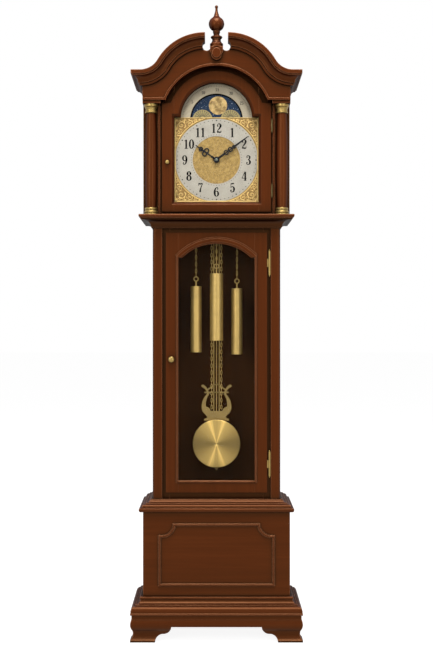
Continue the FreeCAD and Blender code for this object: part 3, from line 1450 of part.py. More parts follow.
def make_bob():
    back = lyre_front_y
    front = back - bob_thickness
    rim_y = front + bob_dome
    outline = [(0, back), (bob_radius, back), (bob_radius, rim_y + bob_edge),
               (bob_radius - bob_edge, rim_y, QUARTER_BULGE), (0, front, DOME)]
    save("pendulum_bob", turned_level(outline, 0, bob_centre_z))
    nut_bottom = rating_nut_top - rating_nut_height
    nut = turned_upright(scaled(nut_shares, rating_nut_radius, rating_nut_height, nut_bottom), 0,
                         pendulum_y)
    save("rating_nut",
         nut.cut(upright_rod(0, pendulum_y, rating_rod_radius, nut_bottom - overrun,
                             rating_nut_top + overrun)))


# Weights, chains and sprockets

names = ["left", "centre", "right"]
weight_x = [x + side * sprocket_radius for x, side in zip(sprocket_x, chain_sides)]
tail_x = [x - side * sprocket_radius for x, side in zip(sprocket_x, chain_sides)]


def ring_height(top):
    return top + weight_stem_height + ring_radius


def make_weight(name, x, y, top, radius, length):
    bottom = top - length
    edge = weight_edge
    outline = [(0, bottom), (radius - edge, bottom), (radius, bottom + edge, -QUARTER_BULGE),
               (radius, top - edge), (radius - edge, top, -QUARTER_BULGE), (weight_stem_radius, top),
               (weight_stem_radius, top + weight_stem_height), (0, top + weight_stem_height)]
    ring = Part.makeTorus(ring_radius, ring_wire_radius, point(x, y, ring_height(top)), TO_BACK)
    save(f"weight_{name}", turned_upright(outline, x, y).fuse(ring))


def make_chains():
    """Straight runs of chain from each weight up to its sprocket, and the free tails on the other side."""
    runs = []
    tails = []
    for index in range(len(names)):
        bottom = ring_height(weight_top[index]) + ring_radius + ring_wire_radius
        runs.append(upright_rod(weight_x[index], weight_y[index], chain_radius, bottom,
                                sprocket_z[index]))
        tails.append(upright_rod(tail_x[index], weight_y[index], chain_radius, tail_bottom[index],
                                 sprocket_z[index]))
    save("chains", *runs, *tails)


def sprocket(x, y, z):
    """Grooved chain wheel."""
    groove = sprocket_radius - chain_radius - sliding_clearance
    flange = sprocket_radius + sprocket_flange
    half = sprocket_width / 2
    half_groove = sprocket_groove_width / 2
    outline = [(0, y - half), (flange, y - half), (flange, y - half_groove), (groove, y - half_groove),
               (groove, y + half_groove), (flange, y + half_groove), (flange, y + half), (0, y + half)]
    return turned_level(outline, x, z)


def make_sprockets():
    for index, name in enumerate(names):
        place = (sprocket_x[index], sprocket_z[index])
        y = weight_y[index]
        wheel = sprocket(place[0], y, place[1])
        if place in side_arbors:
            wheel_y = y + sprocket_width / 2 + side_wheel_gap
            great = toothed_wheel(place, wheel_y, wheel_thickness, side_wheel_teeth, side_wheel_radius,
                                  0, hub_radius)
            wheel = arbor(place).fuse([wheel, great])
        else:
            bore = level_rod(*great_at, arbor_radius + running_clearance, y - sprocket_width,
                             y + sprocket_width)
            wheel = wheel.cut(bore)
        save(f"sprocket_{name}", wheel)


def main():
    os.makedirs("parts", exist_ok=True)
    make_feet()
    make_base()
    make_trunk()
    make_seatboard()
    make_trunk_door()
    make_hood_boards()
    make_columns()
    make_tympanum()
    make_crown()
    make_roof()
    make_finial()
    make_hood_door()
    make_backboard()
    make_dial()
    make_spandrels()
    make_moon()
    make_hands()
    make_movement_frame()
    make_going_train()
    make_motion_work()
    make_anchor()
    make_pendulum_rods()
    make_lyre()
    make_bob()
    for index, name in enumerate(names):
        make_weight(name, weight_x[index], weight_y[index], weight_top[index], weight_radius[index],
                    weight_length[index])
    make_chains()
    make_sprockets()


main()
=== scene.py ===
import json
import math

import bmesh
import bpy
from mathutils import Matrix, Vector


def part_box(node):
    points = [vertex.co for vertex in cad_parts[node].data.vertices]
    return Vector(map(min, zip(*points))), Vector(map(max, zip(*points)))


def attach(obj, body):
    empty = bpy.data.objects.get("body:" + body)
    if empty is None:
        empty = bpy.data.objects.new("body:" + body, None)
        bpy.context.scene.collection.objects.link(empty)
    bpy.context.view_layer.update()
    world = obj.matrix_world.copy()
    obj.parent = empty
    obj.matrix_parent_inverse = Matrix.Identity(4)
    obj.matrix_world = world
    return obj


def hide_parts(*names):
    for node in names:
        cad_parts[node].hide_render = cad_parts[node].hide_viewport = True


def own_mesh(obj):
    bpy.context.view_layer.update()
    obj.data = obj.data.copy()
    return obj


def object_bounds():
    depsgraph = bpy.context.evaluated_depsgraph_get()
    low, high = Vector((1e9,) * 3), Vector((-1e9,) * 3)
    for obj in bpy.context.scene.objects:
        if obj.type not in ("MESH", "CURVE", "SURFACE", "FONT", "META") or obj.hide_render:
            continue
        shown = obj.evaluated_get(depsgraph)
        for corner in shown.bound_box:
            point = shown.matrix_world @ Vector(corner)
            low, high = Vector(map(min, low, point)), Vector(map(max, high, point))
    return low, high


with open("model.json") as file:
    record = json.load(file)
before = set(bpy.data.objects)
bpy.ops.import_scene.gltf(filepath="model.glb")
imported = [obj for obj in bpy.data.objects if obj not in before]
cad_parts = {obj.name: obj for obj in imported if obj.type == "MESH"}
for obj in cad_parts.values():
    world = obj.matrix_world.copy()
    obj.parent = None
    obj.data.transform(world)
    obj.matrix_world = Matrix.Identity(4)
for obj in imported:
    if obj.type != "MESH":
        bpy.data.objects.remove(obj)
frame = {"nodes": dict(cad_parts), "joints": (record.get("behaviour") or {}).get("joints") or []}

cad_low, cad_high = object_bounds()

# Lengths are in metres, lens and sensor in millimetres
MM = 0.001
FULL_TURN = 2 * math.pi
HALF_TURN = math.pi
QUARTER_TURN = math.pi / 2
GOLDEN_ANGLE = math.pi * (3 - math.sqrt(5))
TO_BACK = Vector((0, 1, 0))
UP = Vector((0, 0, 1))

# Camera and stage
camera_distance = 3.8
camera_height = 1.016
camera_lens = 65.8
sensor_size = 36
floor_half_size = 40
lamp_aside = 2.2
lamp_distance = 4
left_lamp_height = 2.4
right_lamp_height = 1.8
top_lamp_height = 4.2
top_lamp_reach = 1.4
lamp_width = 1.6
lamp_length = 2
left_lamp_power = 58
right_lamp_power = 32
top_lamp_power = 170
world_level = .22
floor_tone = .4
floor_glow = .9

# Wood
pore_length = 40 * MM
pore_width = 0.6 * MM
pore_depth = 0.25 * MM
figure_length = 420 * MM
figure_width = 13 * MM
edge_width = 3.5 * MM
# The wood's painted shade darkens within crevice_width of its corners, and more faintly within shade_width
crevice_width = 20 * MM
shade_width = 60 * MM
bands_per_figure = 6
shine_levels = [(.3, .4), (.55, .03), (.74, .003)]
facing_limit = -.5
varnish_tint = (1, .42, .16)

# Metal
metal_edge_width = 0.5 * MM
metal_crevice_width = 4 * MM
scratch_width = 0.6 * MM
scratch_depth = 0.08 * MM
tarnish_cloud = 26 * MM
mottle_size = 9 * MM
pit_size = 1.3 * MM
pit_depth = 0.3 * MM
sea_size = 15 * MM
crater_size = 7 * MM
crater_depth = 0.5 * MM
cloud_size = 24 * MM
flat_depth = 1000
streak_count = 34

# Chains
link_pitch = 11.5 * MM
link_width = 6.5 * MM
wire_radius = 0.85 * MM
inner_wire_share = .86
wire_sides = 6
link_bend_steps = 5
steep_share = .9
tail_clearance = 2 * link_pitch

# Dial print and ornament
print_height = 0.12 * MM
numeral_height = 30.5 * MM
numeral_step_share = .55
bold_share = .014
numeral_radius = 104.5 * MM
hour_count = 12
minute_count = 60
minutes_apart = 5
thick_share = .085
thin_share = .022
stress_power = 1.5
stroke_steps = 7
ring_steps = 28
minute_track_radius = 129.5 * MM
minute_dot_radius = 1.4 * MM
five_minute_dot_radius = 2.2 * MM
inner_track_radius = 83 * MM
inner_dot_radius = 1.1 * MM
dot_sides = 8
lunar_tick_inner = 109 * MM
lunar_tick_outer = 112.5 * MM
lunar_tick_half_width = 0.6 * MM
lunar_numeral_height = 11 * MM
lunar_numeral_radius = 99 * MM
lunar_numeral_days = [5, 10, 15, 20, 25]
lunar_month_days = 29.5
lunar_tick_count = 59
lunar_margin_share = .05
border_width = 6 * MM
top_border_width = 4 * MM
border_height = 0.8 * MM
border_margin = 1.5 * MM
corner_bead_radius = 1.6 * MM
corner_bead_gap = 5 * MM
corner_bead_steps = 24
scroll_tube_share = .014
scroll_thin_share = .55
scroll_growth = 4
scroll_outer_share = .92
scroll_inner_share = .14
scroll_end_share = .55
scroll_bead_share = 1.15
scroll_turns = 1.35
scroll_steps = 26
leaf_count = 5
leaf_steps = 5
leaf_root_share = .86
leaf_tip_share = 1.12
leaf_bend = .7
leaf_wire_share = 1.1
leaf_end_share = .2
star_radius = 1.9 * MM
star_count = 80
star_margin = 3 * MM
star_points = 4
star_waist_share = .36
star_size_shares = [.6, .8, 1]
moon_relief = 0.6 * MM
# Width of the painted shadow round the edge of the sky
sky_shadow_width = 8 * MM
sky_shadow_steps = 96
fan_line_half_width = 0.7 * MM
fan_line_count = 9
fan_reach_share = .86
fan_line_shares = [.3, .65, 1]
fan_root_share = 1.6
fan_dot_share = 2.4
cap_height = 3 * MM
cap_radius = 5 * MM
cap_sides = 24
hand_shaft_radius = 3.8 * MM
hand_wire_radius = 2.2 * MM
hand_boss_radius = 6 * MM
hand_boss_wire = 4 * MM


def shift(value, amount):
    return tuple(component * amount for component in value)


def grey(level):
    return (level, level, level)


def join_up(tree, socket, value):
    """Link a socket, or give it a plain value or colour."""
    if isinstance(value, bpy.types.NodeSocket):
        tree.links.new(value, socket)
    elif isinstance(value, tuple) and socket.type == "RGBA":
        socket.default_value = (*value, 1)
    else:
        socket.default_value = value


def new_material(name):
    material = bpy.data.materials.new(name)
    material.use_nodes = True
    shader = material.node_tree.nodes["Principled BSDF"]
    return material, material.node_tree, shader


def add_node(tree, kind, settings=None, **inputs):
    node = tree.nodes.new(kind)
    for key, value in (settings or {}).items():
        setattr(node, key, value)
    set_inputs(tree, node, **inputs)
    return node


def set_inputs(tree, node, **inputs):
    for key, value in inputs.items():
        join_up(tree, node.inputs[key.replace("_", " ")], value)


def ramp(tree, factor, stops):
    node = add_node(tree, "ShaderNodeValToRGB", Fac=factor)
    elements = node.color_ramp.elements
    while len(elements) < len(stops):
        elements.new(1)
    for element, (place, colour) in zip(elements, stops):
        element.position = place
        element.color = (*colour, 1)
    return node.outputs["Color"]


def tones(tree, factor, colour, *stops):
    """Ramp of one colour at several levels."""
    return ramp(tree, factor, [(place, shift(colour, level)) for place, level in stops])


def levels(tree, factor, *stops):
    return tones(tree, factor, grey(1), *stops)


def math_node(tree, operation, first, second):
    node = add_node(tree, "ShaderNodeMath", {"operation": operation})
    join_up(tree, node.inputs[0], first)
    join_up(tree, node.inputs[1], second)
    return node.outputs["Value"]


def times(tree, first, second):
    return math_node(tree, "MULTIPLY", first, second)


def mix_colour(tree, factor, first, second, blend="MIX"):
    node = add_node(tree, "ShaderNodeMix", {"data_type": "RGBA", "blend_type": blend})
    for index, value in zip((0, 6, 7), (factor, first, second)):
        join_up(tree, node.inputs[index], value)
    return node.outputs[2]


def stretched_place(tree, sizes, centre=(0, 0, 0)):
    """Place on the object from a centre, measured in sizes along x, y and z."""
    place = add_node(tree, "ShaderNodeTexCoord")
    offset = tuple(-along / size for along, size in zip(centre, sizes))
    mapping = add_node(tree, "ShaderNodeMapping", Vector=place.outputs["Object"], Location=offset,
                       Scale=tuple(1 / size for size in sizes))
    return mapping.outputs["Vector"]


def noise(tree, sizes, detail, rough=.5, warp=0):
    node = add_node(tree, "ShaderNodeTexNoise", Vector=stretched_place(tree, sizes), Scale=1, Detail=detail,
                    Roughness=rough, Distortion=warp)
    return node.outputs["Fac"]


def edge_mask(tree, width):
    """White along sharp edges, where a rounded normal leaves the true one, and that normal."""
    soft = add_node(tree, "ShaderNodeBevel", {"samples": 4}, Radius=width)
    true = add_node(tree, "ShaderNodeNewGeometry")
    dot = add_node(tree, "ShaderNodeVectorMath", {"operation": "DOT_PRODUCT"})
    join_up(tree, dot.inputs[0], soft.outputs["Normal"])
    join_up(tree, dot.inputs[1], true.outputs["Normal"])
    mask = levels(tree, dot.outputs["Value"], (.78, 1), (.99, 0))
    return mask, soft.outputs["Normal"]


def openness(tree, width):
    """One on open faces and less toward the corners between faces."""
    node = add_node(tree, "ShaderNodeAmbientOcclusion", {"samples": 8}, Distance=width)
    return node.outputs["AO"]


def bumped(tree, height, strength, depth, normal=None):
    node = add_node(tree, "ShaderNodeBump", Height=height, Strength=strength, Distance=depth)
    if normal:
        join_up(tree, node.inputs["Normal"], normal)
    return node.outputs["Normal"]


def wood_material(name, along, dark, middle, light, worn_and_lit, roughness, wear=1, polish=1):
    """Polished wood whose grain runs along one axis, with painted shade in its corners, and worn edges that
    also carry a painted highlight.
    """
    material, tree, shader = new_material(name)
    fine = [pore_width] * 3
    fine[along] = pore_length
    broad = [figure_width] * 3
    broad[along] = figure_length
    figure = noise(tree, broad, detail=7, rough=.6, warp=.6)
    bands = noise(tree, shift(broad, bands_per_figure), detail=2)
    pores = noise(tree, fine, detail=3, rough=.6)
    tone = math_node(tree, "ADD", times(tree, figure, .55), times(tree, bands, .45))
    colour = ramp(tree, tone, [(.3, dark), (.5, middle), (.72, light)])
    pore_shade = levels(tree, pores, (.36, .7), (.5, 1))
    colour = mix_colour(tree, .5, colour, pore_shade, "MULTIPLY")
    # Painted shade: the wood darkens into its corners and, more faintly, out from overhangs and recesses
    air = openness(tree, crevice_width)
    painted_crevice_shade = levels(tree, air, (.4, .04), (.95, 1))
    broad_shade = levels(tree, openness(tree, shade_width), (.45, .2), (.97, 1))
    colour = mix_colour(tree, 1.0, colour, broad_shade, "MULTIPLY")
    colour = mix_colour(tree, 1.0, colour, painted_crevice_shade, "MULTIPLY")
    # Worn and lit edges: convex edges are paler, partly real wear and partly a painted highlight
    edge, soft_normal = edge_mask(tree, edge_width)
    rubbed_and_lit = levels(tree, figure, (.3, .6 * wear), (.7, wear))
    proud = times(tree, edge, levels(tree, air, (.62, 0), (.85, 1)))
    colour = mix_colour(tree, times(tree, proud, rubbed_and_lit), colour, worn_and_lit)
    gloss = levels(tree, figure, (.3, roughness + .1), (.7, roughness))
    facing = add_node(tree, "ShaderNodeLayerWeight").outputs["Facing"]
    shine = levels(tree, facing, *[(place, level * polish) for place, level in shine_levels])
    set_inputs(tree, shader, Base_Color=colour, Roughness=gloss, Specular_IOR_Level=shine,
               Specular_Tint=varnish_tint, Normal=bumped(tree, pores, .1, pore_depth, soft_normal))
    return material


def brass_material(name, colour, roughness, metallic, streak=.12, along=None, grime=.3):
    """Lacquered brass with fine scratches, along one axis or none, darker toward its corners, with a
    painted highlight along its edges.
    """
    material, tree, shader = new_material(name)
    scratch_sizes = [scratch_width] * 3
    if along is not None:
        scratch_sizes[along] = pore_length
    scratches = noise(tree, scratch_sizes, detail=4, rough=.6)
    clouds = noise(tree, [tarnish_cloud] * 3, detail=4)
    # Darker toward the corners, down to grime of the colour
    open_metal = levels(tree, openness(tree, metal_crevice_width), (.3, 0), (.85, 1))
    edge, soft_normal = edge_mask(tree, metal_edge_width)
    tint = tones(tree, clouds, colour, (.35, .84), (.65, 1))
    tint = mix_colour(tree, open_metal, shift(colour, grime), tint)
    # Painted highlight: the metal is paler along its sharp edges
    tint = mix_colour(tree, times(tree, edge, .5), tint, shift(colour, 1.45))
    shade = levels(tree, scratches, (.3, .86), (.7, 1))
    tint = mix_colour(tree, 1.0, tint, shade, "MULTIPLY")
    gloss = levels(tree, scratches, (.3, roughness), (.7, roughness + streak))
    set_inputs(tree, shader, Base_Color=tint, Metallic=metallic, Roughness=gloss,
               Normal=bumped(tree, scratches, streak, scratch_depth, soft_normal))
    return material


def sunburst_material(name, centre, colour):
    """Brass brushed outward from one centre, with a painted highlight in rays near the top and bottom of
    the disc and painted shade toward its sides.
    """
    material, tree, shader = new_material(name)
    place = stretched_place(tree, (1, flat_depth, 1), centre)
    outward = add_node(tree, "ShaderNodeVectorMath", {"operation": "NORMALIZE"})
    join_up(tree, outward.inputs[0], place)
    parts = add_node(tree, "ShaderNodeSeparateXYZ", Vector=outward.outputs["Vector"])
    aside = times(tree, parts.outputs["X"], parts.outputs["X"])
    streaks = add_node(tree, "ShaderNodeTexNoise", Vector=outward.outputs["Vector"], Scale=streak_count,
                       Detail=5)
    drift = times(tree, math_node(tree, "SUBTRACT", streaks.outputs["Fac"], .5), .16)
    # Painted highlight and shade: brighter in rays a little off the vertical, darker toward the sides
    tint = tones(tree, math_node(tree, "ADD", aside, drift), colour,
                 (0, 1), (.09, 1.95), (.2, 1.1), (.5, .9), (.88, .58), (1, .45))
    gloss = levels(tree, streaks.outputs["Fac"], (.3, .34), (.7, .46))
    set_inputs(tree, shader, Base_Color=tint, Metallic=.75, Roughness=gloss,
               Normal=bumped(tree, streaks.outputs["Fac"], .08, scratch_depth))
    return material


def silver_material(name, colour):
    """Silvered brass, chalky white with faint clouds."""
    material, tree, shader = new_material(name)
    clouds = noise(tree, [cloud_size] * 3, detail=6)
    grain = noise(tree, [scratch_width] * 3, detail=2)
    tint = tones(tree, clouds, colour, (.3, .86), (.7, 1))
    gloss = levels(tree, clouds, (.3, .55), (.7, .42))
    set_inputs(tree, shader, Base_Color=tint, Metallic=.2, Roughness=gloss,
               Normal=bumped(tree, grain, .06, scratch_depth))
    return material


def matted_material(name, centre, radius, dark, light, ground):
    """Gilt plate, mottled and punched with small pits inside a circle, and plain outside."""
    material, tree, shader = new_material(name)
    pits = add_node(tree, "ShaderNodeTexVoronoi", Vector=stretched_place(tree, [pit_size] * 3), Scale=1)
    mottle = noise(tree, [mottle_size] * 3, detail=6, rough=.7)
    tone = math_node(tree, "ADD", times(tree, pits.outputs["Distance"], .3), mottle)
    tint = ramp(tree, tone, [(.38, dark), (.85, light)])
    across = add_node(tree, "ShaderNodeVectorMath", {"operation": "LENGTH"})
    join_up(tree, across.inputs[0], stretched_place(tree, [radius] * 3, centre))
    outside = math_node(tree, "GREATER_THAN", across.outputs["Value"], 1)
    plain = tones(tree, mottle, ground, (.35, .8), (.65, 1))
    set_inputs(tree, shader, Base_Color=mix_colour(tree, outside, tint, plain), Metallic=.55, Roughness=.48,
               Normal=bumped(tree, pits.outputs["Distance"], .4, pit_depth))
    return material


def glass_material(name, colour):
    """Clear window glass with faint smears."""
    material, tree, shader = new_material(name)
    smears = noise(tree, [cloud_size] * 3, detail=4)
    gloss = levels(tree, smears, (.4, .03), (.8, .12))
    set_inputs(tree, shader, Base_Color=colour, Roughness=gloss, Alpha=.03)
    return material


def plain_material(name, colour, roughness, metallic=0, shine=.2):
    """Steel, ink or paint, a little cloudy, with a painted highlight along its edges."""
    material, tree, shader = new_material(name)
    clouds = noise(tree, [mottle_size] * 3, detail=5)
    edge, soft_normal = edge_mask(tree, metal_edge_width)
    tint = tones(tree, clouds, colour, (.3, .7), (.7, 1))
    # Painted highlight: paler along sharp edges
    tint = mix_colour(tree, times(tree, edge, .3), tint, shift(colour, 2.5))
    gloss = levels(tree, clouds, (.3, roughness + .12), (.7, roughness))
    set_inputs(tree, shader, Base_Color=tint, Metallic=metallic, Roughness=gloss, Specular_IOR_Level=shine,
               Normal=soft_normal)
    return material


def sky_material(name, dark, light):
    """Dark blue paint with deeper patches."""
    material, tree, shader = new_material(name)
    clouds = noise(tree, [cloud_size] * 3, detail=5)
    tint = ramp(tree, clouds, [(.3, dark), (.7, light)])
    gloss = levels(tree, clouds, (.3, .55), (.7, .42))
    set_inputs(tree, shader, Base_Color=tint, Roughness=gloss, Specular_IOR_Level=.2)
    return material


def moon_material(name, dark, light):
    """Gilt moon with dark seas and ringed craters."""
    material, tree, shader = new_material(name)
    seas = noise(tree, [sea_size] * 3, detail=4, rough=.6)
    crater_place = stretched_place(tree, [crater_size] * 3)
    craters = add_node(tree, "ShaderNodeTexVoronoi", Vector=crater_place, Scale=1)
    rims = levels(tree, craters.outputs["Distance"], (.12, .55), (.22, 1), (.36, .82))
    tint = ramp(tree, seas, [(.36, dark), (.6, light)])
    tint = mix_colour(tree, 1.0, tint, rims, "MULTIPLY")
    set_inputs(tree, shader, Base_Color=tint, Metallic=.3, Roughness=.45,
               Normal=bumped(tree, rims, .5, crater_depth))
    return material


# Solids and their sizes

weld_digits = 3


def solids_of(mesh):
    """Lists of faces that hang together, one list for each solid in a node."""
    leader = list(range(len(mesh.polygons)))

    def top(index):
        while leader[index] != index:
            leader[index] = leader[leader[index]]
            index = leader[index]
        return index

    first_at = {}
    for polygon in mesh.polygons:
        for corner in polygon.vertices:
            spot = tuple(round(component / MM, weld_digits) for component in mesh.vertices[corner].co)
            other = first_at.setdefault(spot, polygon.index)
            leader[top(polygon.index)] = top(other)
    groups = {}
    for polygon in mesh.polygons:
        groups.setdefault(top(polygon.index), []).append(polygon.index)
    return list(groups.values())


def box_of(mesh, faces):
    corners = [mesh.vertices[corner].co for face in faces for corner in mesh.polygons[face].vertices]
    low = Vector([min(corner[axis] for corner in corners) for axis in range(3)])
    high = Vector([max(corner[axis] for corner in corners) for axis in range(3)])
    return low, high


def node_boxes(name):
    mesh = frame["nodes"][name].data
    return [box_of(mesh, faces) for faces in solids_of(mesh)]


def centre_of(name):
    low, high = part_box(name)
    return (low + high) / 2


def half_width_of(name):
    low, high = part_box(name)
    return (high.x - low.x) / 2


def joint_of(body):
    return next(joint for joint in frame["joints"] if joint["child"] == body)


def set_materials(name, materials):
    mesh = frame["nodes"][name].data
    mesh.materials.clear()
    for material in materials:
        mesh.materials.append(material)
    return mesh


def paint(name, *materials, choose=lambda polygon: 0):
    """Give a node its materials, chosen face by face."""
    for polygon in set_materials(name, materials).polygons:
        polygon.material_index = choose(polygon)


def paint_solids(name, *materials, choose):
    """Give a node its materials, chosen by each solid's size."""
    mesh = set_materials(name, materials)
    for faces in solids_of(mesh):
        low, high = box_of(mesh, faces)
        index = choose(high - low)
        for face in faces:
            mesh.polygons[face].material_index = index


def longest_side(size):
    """The axis along which a solid is longest."""
    return max(range(3), key=lambda axis: size[axis])


# Pieces, tubes, strokes and flat shapes


def new_object(name, data):
    thing = bpy.data.objects.new(name, data)
    bpy.context.scene.collection.objects.link(thing)
    return thing


def finish_piece(builder, name, material, body, smooth=True):
    """Turn a mesh under construction into a named piece that rides a body."""
    bmesh.ops.recalc_face_normals(builder, faces=builder.faces[:])
    mesh = bpy.data.meshes.new(name)
    builder.to_mesh(mesh)
    builder.free()
    mesh.materials.append(material)
    for polygon in mesh.polygons:
        polygon.use_smooth = smooth
    piece = new_object(name, mesh)
    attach(piece, body)
    return piece


def even_turns(count):
    return [FULL_TURN * step / count for step in range(count)]


def circle(middle, radius, steps):
    """Points round a circle that faces the front."""
    return [middle + radius * Vector((math.cos(turn), 0, math.sin(turn))) for turn in even_turns(steps)]


def neighbours(line, index, closed):
    """The points before and after one on a line, or the point itself at an open end."""
    if closed:
        return line[index - 1], line[(index + 1) % len(line)]
    return line[max(index - 1, 0)], line[min(index + 1, len(line) - 1)]


def next_pairs(rows, closed):
    """Each row with the next, and the last with the first on a closed line."""
    return zip(rows, rows[1:] + rows[:1] if closed else rows[1:])


def skin(builder, one, two):
    """Band of faces between two rings of points."""
    for step in range(len(one)):
        after = (step + 1) % len(one)
        builder.faces.new((one[step], one[after], two[after], two[step]))


def tube_rings(builder, path, radii, closed=False, sides=wire_sides):
    """A round tube along a line of points."""
    rings = []
    for index, point in enumerate(path):
        before, after = neighbours(path, index, closed)
        way = (after - before).normalized()
        side = way.cross(TO_BACK if abs(way.y) < steep_share else UP).normalized()
        upright = side.cross(way)
        offsets = [side * math.cos(turn) + upright * math.sin(turn) for turn in even_turns(sides)]
        rings.append([builder.verts.new(point + offset * radii[index]) for offset in offsets])
    for one, two in next_pairs(rings, closed):
        skin(builder, one, two)
    if not closed:
        builder.faces.new(list(reversed(rings[0])))
        builder.faces.new(rings[-1])


def smooth_line(points):
    """Points along a curve through the given ones, each a row of numbers."""
    rows = [Vector(point) for point in points]
    line = []
    for index in range(len(rows) - 1):
        before = rows[max(index - 1, 0)]
        start, end = rows[index], rows[index + 1]
        after = rows[min(index + 2, len(rows) - 1)]
        for step in range(stroke_steps):
            t = step / stroke_steps
            bend = (end - before) * t + (2 * before - 5 * start + 4 * end - after) * t ** 2
            bend = bend + (3 * start - before - 3 * end + after) * t ** 3
            line.append(start + bend / 2)
    return line + [rows[-1]]


def ribbon(builder, line, place, closed=False):
    """Flat stroke along (across, up, half width) points, set down by a function of place."""
    edges = []
    for index, point in enumerate(line):
        before, after = neighbours(line, index, closed)
        way = Vector((after[0] - before[0], after[1] - before[1])).normalized()
        aside = Vector((-way.y, way.x)) * point[2]
        middle = Vector((point[0], point[1]))
        edges.append([builder.verts.new(place(*(middle + side))) for side in (aside, -aside)])
    for one, two in next_pairs(edges, closed):
        builder.faces.new((one[0], one[1], two[1], two[0]))


def flat_shape(builder, centre, reaches, place):
    """Flat face whose corners lie evenly round a centre, each at its own reach."""
    rim = []
    for turn, reach in zip(even_turns(len(reaches)), reaches):
        rim.append(builder.verts.new(place(centre[0] + reach * math.cos(turn),
                                           centre[1] + reach * math.sin(turn))))
    builder.faces.new(rim)


def flat_disc(builder, centre, radius, place, sides=dot_sides):
    flat_shape(builder, centre, [radius] * sides, place)


def flat_star(builder, centre, radius, place):
    flat_shape(builder, centre, [radius, radius * star_waist_share] * star_points, place)


def on_plane(y):
    """Function that sets a flat place down at a depth."""
    return lambda x, z: Vector((x, y, z))


def bevelled_bar(builder, low, high, front, back):
    """Bar that faces the front, narrower at its face than at its back; low and high are (x, z)."""
    inset = (back - front) / 2
    outline = [(low[0], low[1]), (high[0], low[1]), (high[0], high[1]), (low[0], high[1])]
    inward = [(1, 1), (-1, 1), (-1, -1), (1, -1)]
    near = [builder.verts.new((x + inset * u, front, z + inset * v))
            for (x, z), (u, v) in zip(outline, inward)]
    far = [builder.verts.new((x, back, z)) for x, z in outline]
    builder.faces.new(near)
    skin(builder, near, far)


def turned_cap(builder, centre, outline):
    """Solid turned about an axis that runs front to back, from (radius, depth) points."""
    rings = []
    for radius, depth in outline:
        points = circle(centre + TO_BACK * depth, radius, cap_sides)
        rings.append([builder.verts.new(point) for point in points])
    for one, two in next_pairs(rings, closed=False):
        skin(builder, one, two)
    builder.faces.new(rings[0])
    builder.faces.new(rings[-1])


# Chains


def add_link(builder, centre, way, facing, wire):
    """One oval chain link, long along a way and flat against a facing."""
    half_length = link_pitch / 2 + wire_radius
    half_width = link_width / 2 - wire_radius
    across = way.cross(facing).normalized()
    path = []
    for end in (1, -1):
        for step in range(link_bend_steps + 1):
            angle = QUARTER_TURN * (1 - 2 * step / link_bend_steps) * end
            bend = Vector((math.sin(angle), math.cos(angle))) * half_width
            along = end * (half_length - half_width + bend.y)
            path.append(centre + across * bend.x + way * along)
    tube_rings(builder, path, [wire] * len(path), closed=True)


def add_chain(builder, places, ways, wire):
    """Links along a line, each turned a quarter from the last."""
    for index, (place, way) in enumerate(zip(places, ways)):
        facing = TO_BACK if index % 2 else way.cross(TO_BACK)
        add_link(builder, place, way, facing, wire)


def straight_chain(builder, x, y, start, end, wire):
    way = UP if end > start else -UP
    count = int(abs(end - start) / link_pitch)
    places = [Vector((x, y, start)) + way * link_pitch * (index + .5) for index in range(count)]
    add_chain(builder, places, [way] * count, wire)


def chain_over_sprocket(builder, run_x, tail_x, y, z):
    """The links that lie round the upper half of a sprocket."""
    middle = (run_x + tail_x) / 2
    radius = (tail_x - run_x) / 2
    count = round(HALF_TURN * abs(radius) / link_pitch)
    places = []
    ways = []
    for index in range(count):
        angle = HALF_TURN * (index + .5) / count
        places.append(Vector((middle - radius * math.cos(angle), y, z + abs(radius) * math.sin(angle))))
        ways.append(Vector((radius * math.sin(angle), 0, abs(radius) * math.cos(angle))).normalized())
    add_chain(builder, places, ways, wire_radius)


def nearest_run(boxes, x):
    return min(boxes, key=lambda box: abs(box[0].x + box[1].x - 2 * x))


def build_chains(brass):
    """Link chains from each weight over its sprocket and down to a loose tail."""
    boxes = node_boxes("chains")
    fixed = bmesh.new()
    for side in ("left", "centre", "right"):
        body = side + "_weight"
        run = nearest_run(boxes, centre_of("weight_" + side).x)
        start = (run[0] + run[1]) / 2
        far_x = 2 * centre_of("sprocket_" + side).x - start.x
        tail = nearest_run(boxes, far_x)
        moving = bmesh.new()
        straight_chain(moving, start.x, start.y, run[0].z, run[1].z, wire_radius)
        finish_piece(moving, side + "_weight_chain", brass, body)
        straight_chain(fixed, start.x, start.y, run[0].z, run[1].z, wire_radius * inner_wire_share)
        chain_over_sprocket(fixed, start.x, far_x, start.y, run[1].z)
        tail_top = tail[1].z - tail_clearance
        straight_chain(fixed, far_x, start.y, tail[1].z, tail_top, wire_radius)
        loose = bmesh.new()
        straight_chain(loose, far_x, start.y, tail_top, tail[0].z, wire_radius)
        piece = finish_piece(loose, side + "_chain_tail", brass, "case")
        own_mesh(piece)
    piece = finish_piece(fixed, "chain_runs_and_turns", brass, "case")
    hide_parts("chains")


# Dial print

